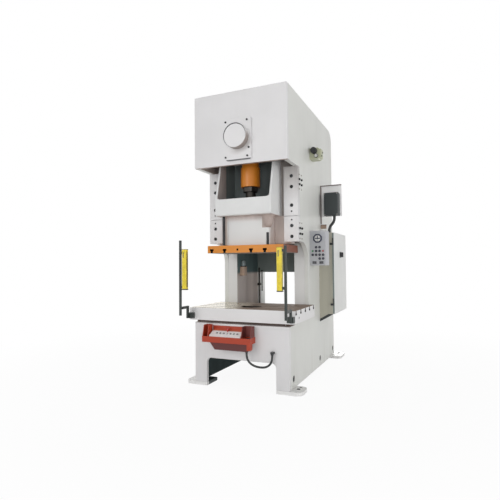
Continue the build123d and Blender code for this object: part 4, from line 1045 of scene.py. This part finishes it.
# %% Taper the boss and add its fillet
boss_x, boss_y, belly_z, boss_foot_z = 0.240, front_y + 0.205, 1.800, 1.670
boss_reach = 0.0672
foot_share = 0.66
for vertex in bpy.data.objects["slide_body_dressed"].data.vertices:
    across, deep_in = vertex.co.x - boss_x, vertex.co.y - boss_y
    on_boss = across**2 + deep_in**2 < boss_reach**2
    if on_boss and boss_foot_z - 0.001 < vertex.co.z < belly_z - 0.0005:
        height = (vertex.co.z - boss_foot_z) / (belly_z - boss_foot_z)
        share = foot_share + (1 - foot_share) * height
        vertex.co.x = boss_x + across * share
        vertex.co.y = boss_y + deep_in * share
flare = [(0.0, -0.045), (0.052, -0.045), (0.060, -0.030)]
flare += [(0.070, -0.014), (0.082, -0.0005), (0.0, -0.0005)]
# the fillet takes the boss's brown painted shade
lathe("boss_fillet", flare, (boss_x, boss_y, belly_z), upwards, "boss_shading", "slide")
print("boss tapered")

# %% [markdown]
# ## Small fittings on sheet-metal parts
# Thin boxes are held by small screws that the eye expects: four on the panel's face and four on the
# relay box's lid. The same tree, a little wider, makes the bezels round the buttons. The relay
# bracket stands on a foot above the cabinet.

# %% Place the small fittings
panel_corners = [spot(x, 760, z) for x in (542, 710) for z in (1272, 1643)]
socket_screws("panel_screws", panel_corners, "front", 0.0045, 0.003, "turned")
foot = (spot(531.5, 1268, 1718), spot(598, 1298, 1761))
milled("relay_bracket_foot", [foot], "filter", 0.002)
# the seat is a dark joint, in the same dark brown as the painted shade under the table
seat = (spot(531.5, 1266, 1760), spot(601, 1300, 1768))
milled("relay_bracket_seat", [seat], "dark_joint_shade", 0.001)
lid_corners = [spot(x, 1173, z) for x in (610, 760) for z in (1881, 2138)]
socket_screws("relay_lid_screws", lid_corners, "front", 0.005, 0.003, "turned")
button_places = [(1, 0), (2, 0), (1, 1), (2, 1), (0, 2), (1, 2), (2, 2), (3, 2), (2, 3), (3, 3)]
bezels = [(columns[column], panel_face, rows[row]) for column, row in button_places]
socket_screws("panel_bezels", bezels, "front", 0.0152, 0.0026, "black_plastic")
bezels = [(x, console_row_y, key_foot_z - 0.0012) for x in console_keys]
socket_screws("console_bezels", bezels, "sloped", 0.0108, 0.0022, "black_plastic")
socket_screws("bolster_plug", [spot(595, 120, 742)], "right", 0.009, 0.002)
print("small fittings placed")

# %% [markdown]
# ## Plugs and pads
# The lifting holes low in the side plates hold black rubber plugs a little below the surface, and a
# black rubber pad sits in each foot's anchor hole; their black darkens the holes as painted shade. All
# are turned.

# %% Shade plugs in the side plates, shade pads in the feet's anchor holes
shade_plug_profile = [(0.0, 0.0), (0.0325, 0.0), (0.0325, 0.010), (0.030, 0.0125)]
shade_plug_profile += [(0.012, 0.0135), (0.010, 0.011), (0.0, 0.011)]
shade_pad_profile = [(0.0, 0.0), (0.0175, 0.0), (0.0175, 0.005), (0.015, 0.006), (0.0, 0.006)]
for side, sign in sides:
    for place, depth in (("front", 129), ("middle", 1158), ("rear", 1829)):
        name = f"lifting_plug_{place}_{side}"
        lathe(name, shade_plug_profile, spot(sign * 516, depth, 130), (sign, 0, 0), "rubber")
    for place, depth in (("front", 125), ("rear", 2000)):
        name = f"anchor_hole_shade_pad_{place}_{side}"
        lathe(name, shade_pad_profile, spot(sign * 580, depth, 0.2), upwards, "rubber", steps=24)
print("plugs and pads made")

# %% [markdown]
# ## Shade strips and the cabinet's rails
# Dark brown strips fill the joint between the table and the two side plates as painted shade, so the
# shadow under the table reads as one line across the front. Inside the cabinet, a plate with four
# rails waits for switchgear.

# %% Shade strips and rail plate
base_top = 0.665
table_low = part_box("bolster")[0]
strips = [((x0, front_y + 0.046, base_top - 0.001), (x1, front_y + 0.120, table_low.z + 0.001))
          for x0, x1 in ((-0.531, -0.4835), (0.4835, 0.531))]
milled("under_table_shade_strips", strips, "dark_joint_shade", 0.0006)
plate = [((0.5375, front_y + 1.205, 0.705), (0.5405, front_y + 1.850, 1.625))]
plate += [((0.5402, front_y + 1.230, z), (0.5445, front_y + 1.825, z + 0.035))
          for z in (0.80, 1.03, 1.26, 1.49)]
milled("cabinet_rail_plate", plate, "zinc", 0.0005)
print("shims and rail plate made")

# %% [markdown]
# ## Louvres in the rear cover
# The drive behind the crown needs air, so the rear cover has two banks of louvres. One slat is a
# tilted bar; a tree sets it on a column of points, and a black plate behind it stands for the opening
# as painted shade.

# %% Louvre tree
def slat_tree():
    sizes = {"Slat Length": 0.26, "Slat Width": 0.022, "Slat Thickness": 0.003, "Tilt": 0.6}
    tree, asked = new_tree("louvre_slats", {**sizes, "Turn": (0.0, 0.0, 0.0)})
    size = vector_of(tree, X=asked["Slat Length"], Y=asked["Slat Thickness"], Z=asked["Slat Width"])
    bar = out(tree, "MeshCube", Size=size)
    tilted = out(tree, "Transform", Geometry=bar, Rotation=vector_of(tree, X=asked["Tilt"]))
    set_on_points(tree, asked, tilted)
    return tree


cover_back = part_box("crown_cover")[1].y
louvres = slat_tree()
for side, sign in sides:
    x = sign * 0.24
    slats = [(x, cover_back + 0.003, 1.330 + row * 0.026) for row in range(10)]
    grown("louvre_slats_" + side, louvres, slats, "plain", "crown_cover")
    backing = ((x - 0.140, cover_back - 0.001, 1.305), (x + 0.140, cover_back + 0.0015, 1.590))
    milled("louvre_shade_back_" + side, [backing], "black_plastic", 0.0006)
print("louvres:", len(louvres.nodes), "nodes in the tree")

# %% [markdown]
# ## Control cable
# The cable drops out of a collar under the tray, swings through one slack loop and comes up into an
# elbow on the base. Its route is a handful of points; a NURBS curve through their neighbourhood is
# smooth all the way, as a rubber cable is.

# %% Hang the cable
cable_route = [
    (0.108, -0.080, 0.400), (0.108, -0.080, 0.345), (0.142, -0.072, 0.291), (0.205, -0.062, 0.261),
    (0.290, -0.047, 0.257), (0.338, -0.041, 0.284), (0.364, -0.034, 0.329), (0.364, -0.034, 0.383),
]
line = bpy.data.curves.new("control_cable_line", "CURVE")
line.dimensions = "3D"
line.bevel_depth = 0.0105
line.bevel_resolution = 5
line.use_fill_caps = True
path = line.splines.new("NURBS")
path.points.add(len(cable_route) - 1)
for point, (x, y, z) in zip(path.points, cable_route):
    point.co = (x, front_y + y, z, 1)
path.order_u = 3
path.use_endpoint_u = True
path.resolution_u = 12
line.materials.append(finishes["rubber"])
cable = placed("control_cable_line", line)
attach(cable, "frame")
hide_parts("control_cable")
print("cable hung")

# %% [markdown]
# ## Stage and light
# A pale floor and a white world stand in for a studio. The floor answers camera rays mostly with
# plain white, so the background is white without more light on the machine, and the rest of its
# shader still takes the soft shadow near the feet. Further out it fades to white altogether.

# %% Floor, world and lamps
white = (1, 1, 1, 1)


def empty_tree(owner):
    """The node tree of a material or a world, without its default nodes."""
    owner.use_nodes = True
    owner.node_tree.nodes.clear()
    return owner.node_tree


def looking(tree):
    """1 for rays that see the stage: straight, in a gloss or through glass."""
    rays = put(tree, "LightPath").outputs
    return Field(tree, rays["Is Camera Ray"]) | rays["Is Glossy Ray"] | rays["Is Transmission Ray"]


def stage_floor():
    mesh = bpy.data.meshes.new("studio_floor")
    size = 14
    corners = [(-size, -size, 0), (size, -size, 0), (size, size, 0), (-size, size, 0)]
    mesh.from_pydata(corners, [], [(0, 1, 2, 3)])
    finish = bpy.data.materials.new("studio_floor_white")
    tree = empty_tree(finish)
    matte = out(tree, "BsdfDiffuse", Color=(0.88, 0.88, 0.88, 1))
    bright = out(tree, "Emission", Color=white, Strength=1.0)
    x, y = axes(tree, places(tree))[:2]
    far = mapped(squares(x, y), From_Min=3.0, From_Max=20.0, To_Min=0.93, To_Max=1.0)
    blend = out(tree, "MixShader", i0=looking(tree) * far, i1=matte, i2=bright)
    put(tree, "OutputMaterial", Surface=blend)
    mesh.materials.append(finish)
    floor = placed("studio_floor", mesh)
    floor.location.z = -0.0005


def studio_world():
    world = bpy.data.worlds.new("studio_world")
    bpy.context.scene.world = world
    tree = empty_tree(world)
    dim = out(tree, "Background", Color=white, Strength=0.38)
    bright = out(tree, "Background", Color=white, Strength=1.0)
    blend = out(tree, "MixShader", i0=looking(tree), i1=dim, i2=bright)
    put(tree, "OutputWorld", Surface=blend)


def soft_lamp(name, where, towards, size, power):
    data = bpy.data.lights.new(name, "AREA")
    data.shape = "RECTANGLE"
    data.size, data.size_y = size
    data.energy = power
    aim = (Vector(towards) - Vector(where)).to_track_quat("-Z", "Y")
    placed(name, data).matrix_world = Matrix.Translation(where) @ aim.to_matrix().to_4x4()


stage_floor()
studio_world()
soft_lamp("key_softbox", (-3.0, -10.5, 4.4), (0, -0.5, 1.5), (5, 5), 262)
soft_lamp("low_fill", (3.8, -9.0, 1.3), (0, -0.5, 1.3), (3, 3), 180)
soft_lamp("side_softbox", (8.5, -1.5, 2.0), (0.3, 0, 1.3), (5, 5), 212)
soft_lamp("rear_softbox", (-1.6, 8.5, 3.6), (0, 0.5, 1.4), (4, 4), 220)
soft_lamp("left_softbox", (-9.0, 1.5, 3.0), (-0.5, 0.3, 1.5), (4, 4), 230)
soft_lamp("passage_light", (0.5, 5.0, 1.5), (-0.4, 0.5, 1.0), (0.4, 2.0), 40)
bpy.context.scene.view_settings.view_transform = "Standard"
print("stage set")
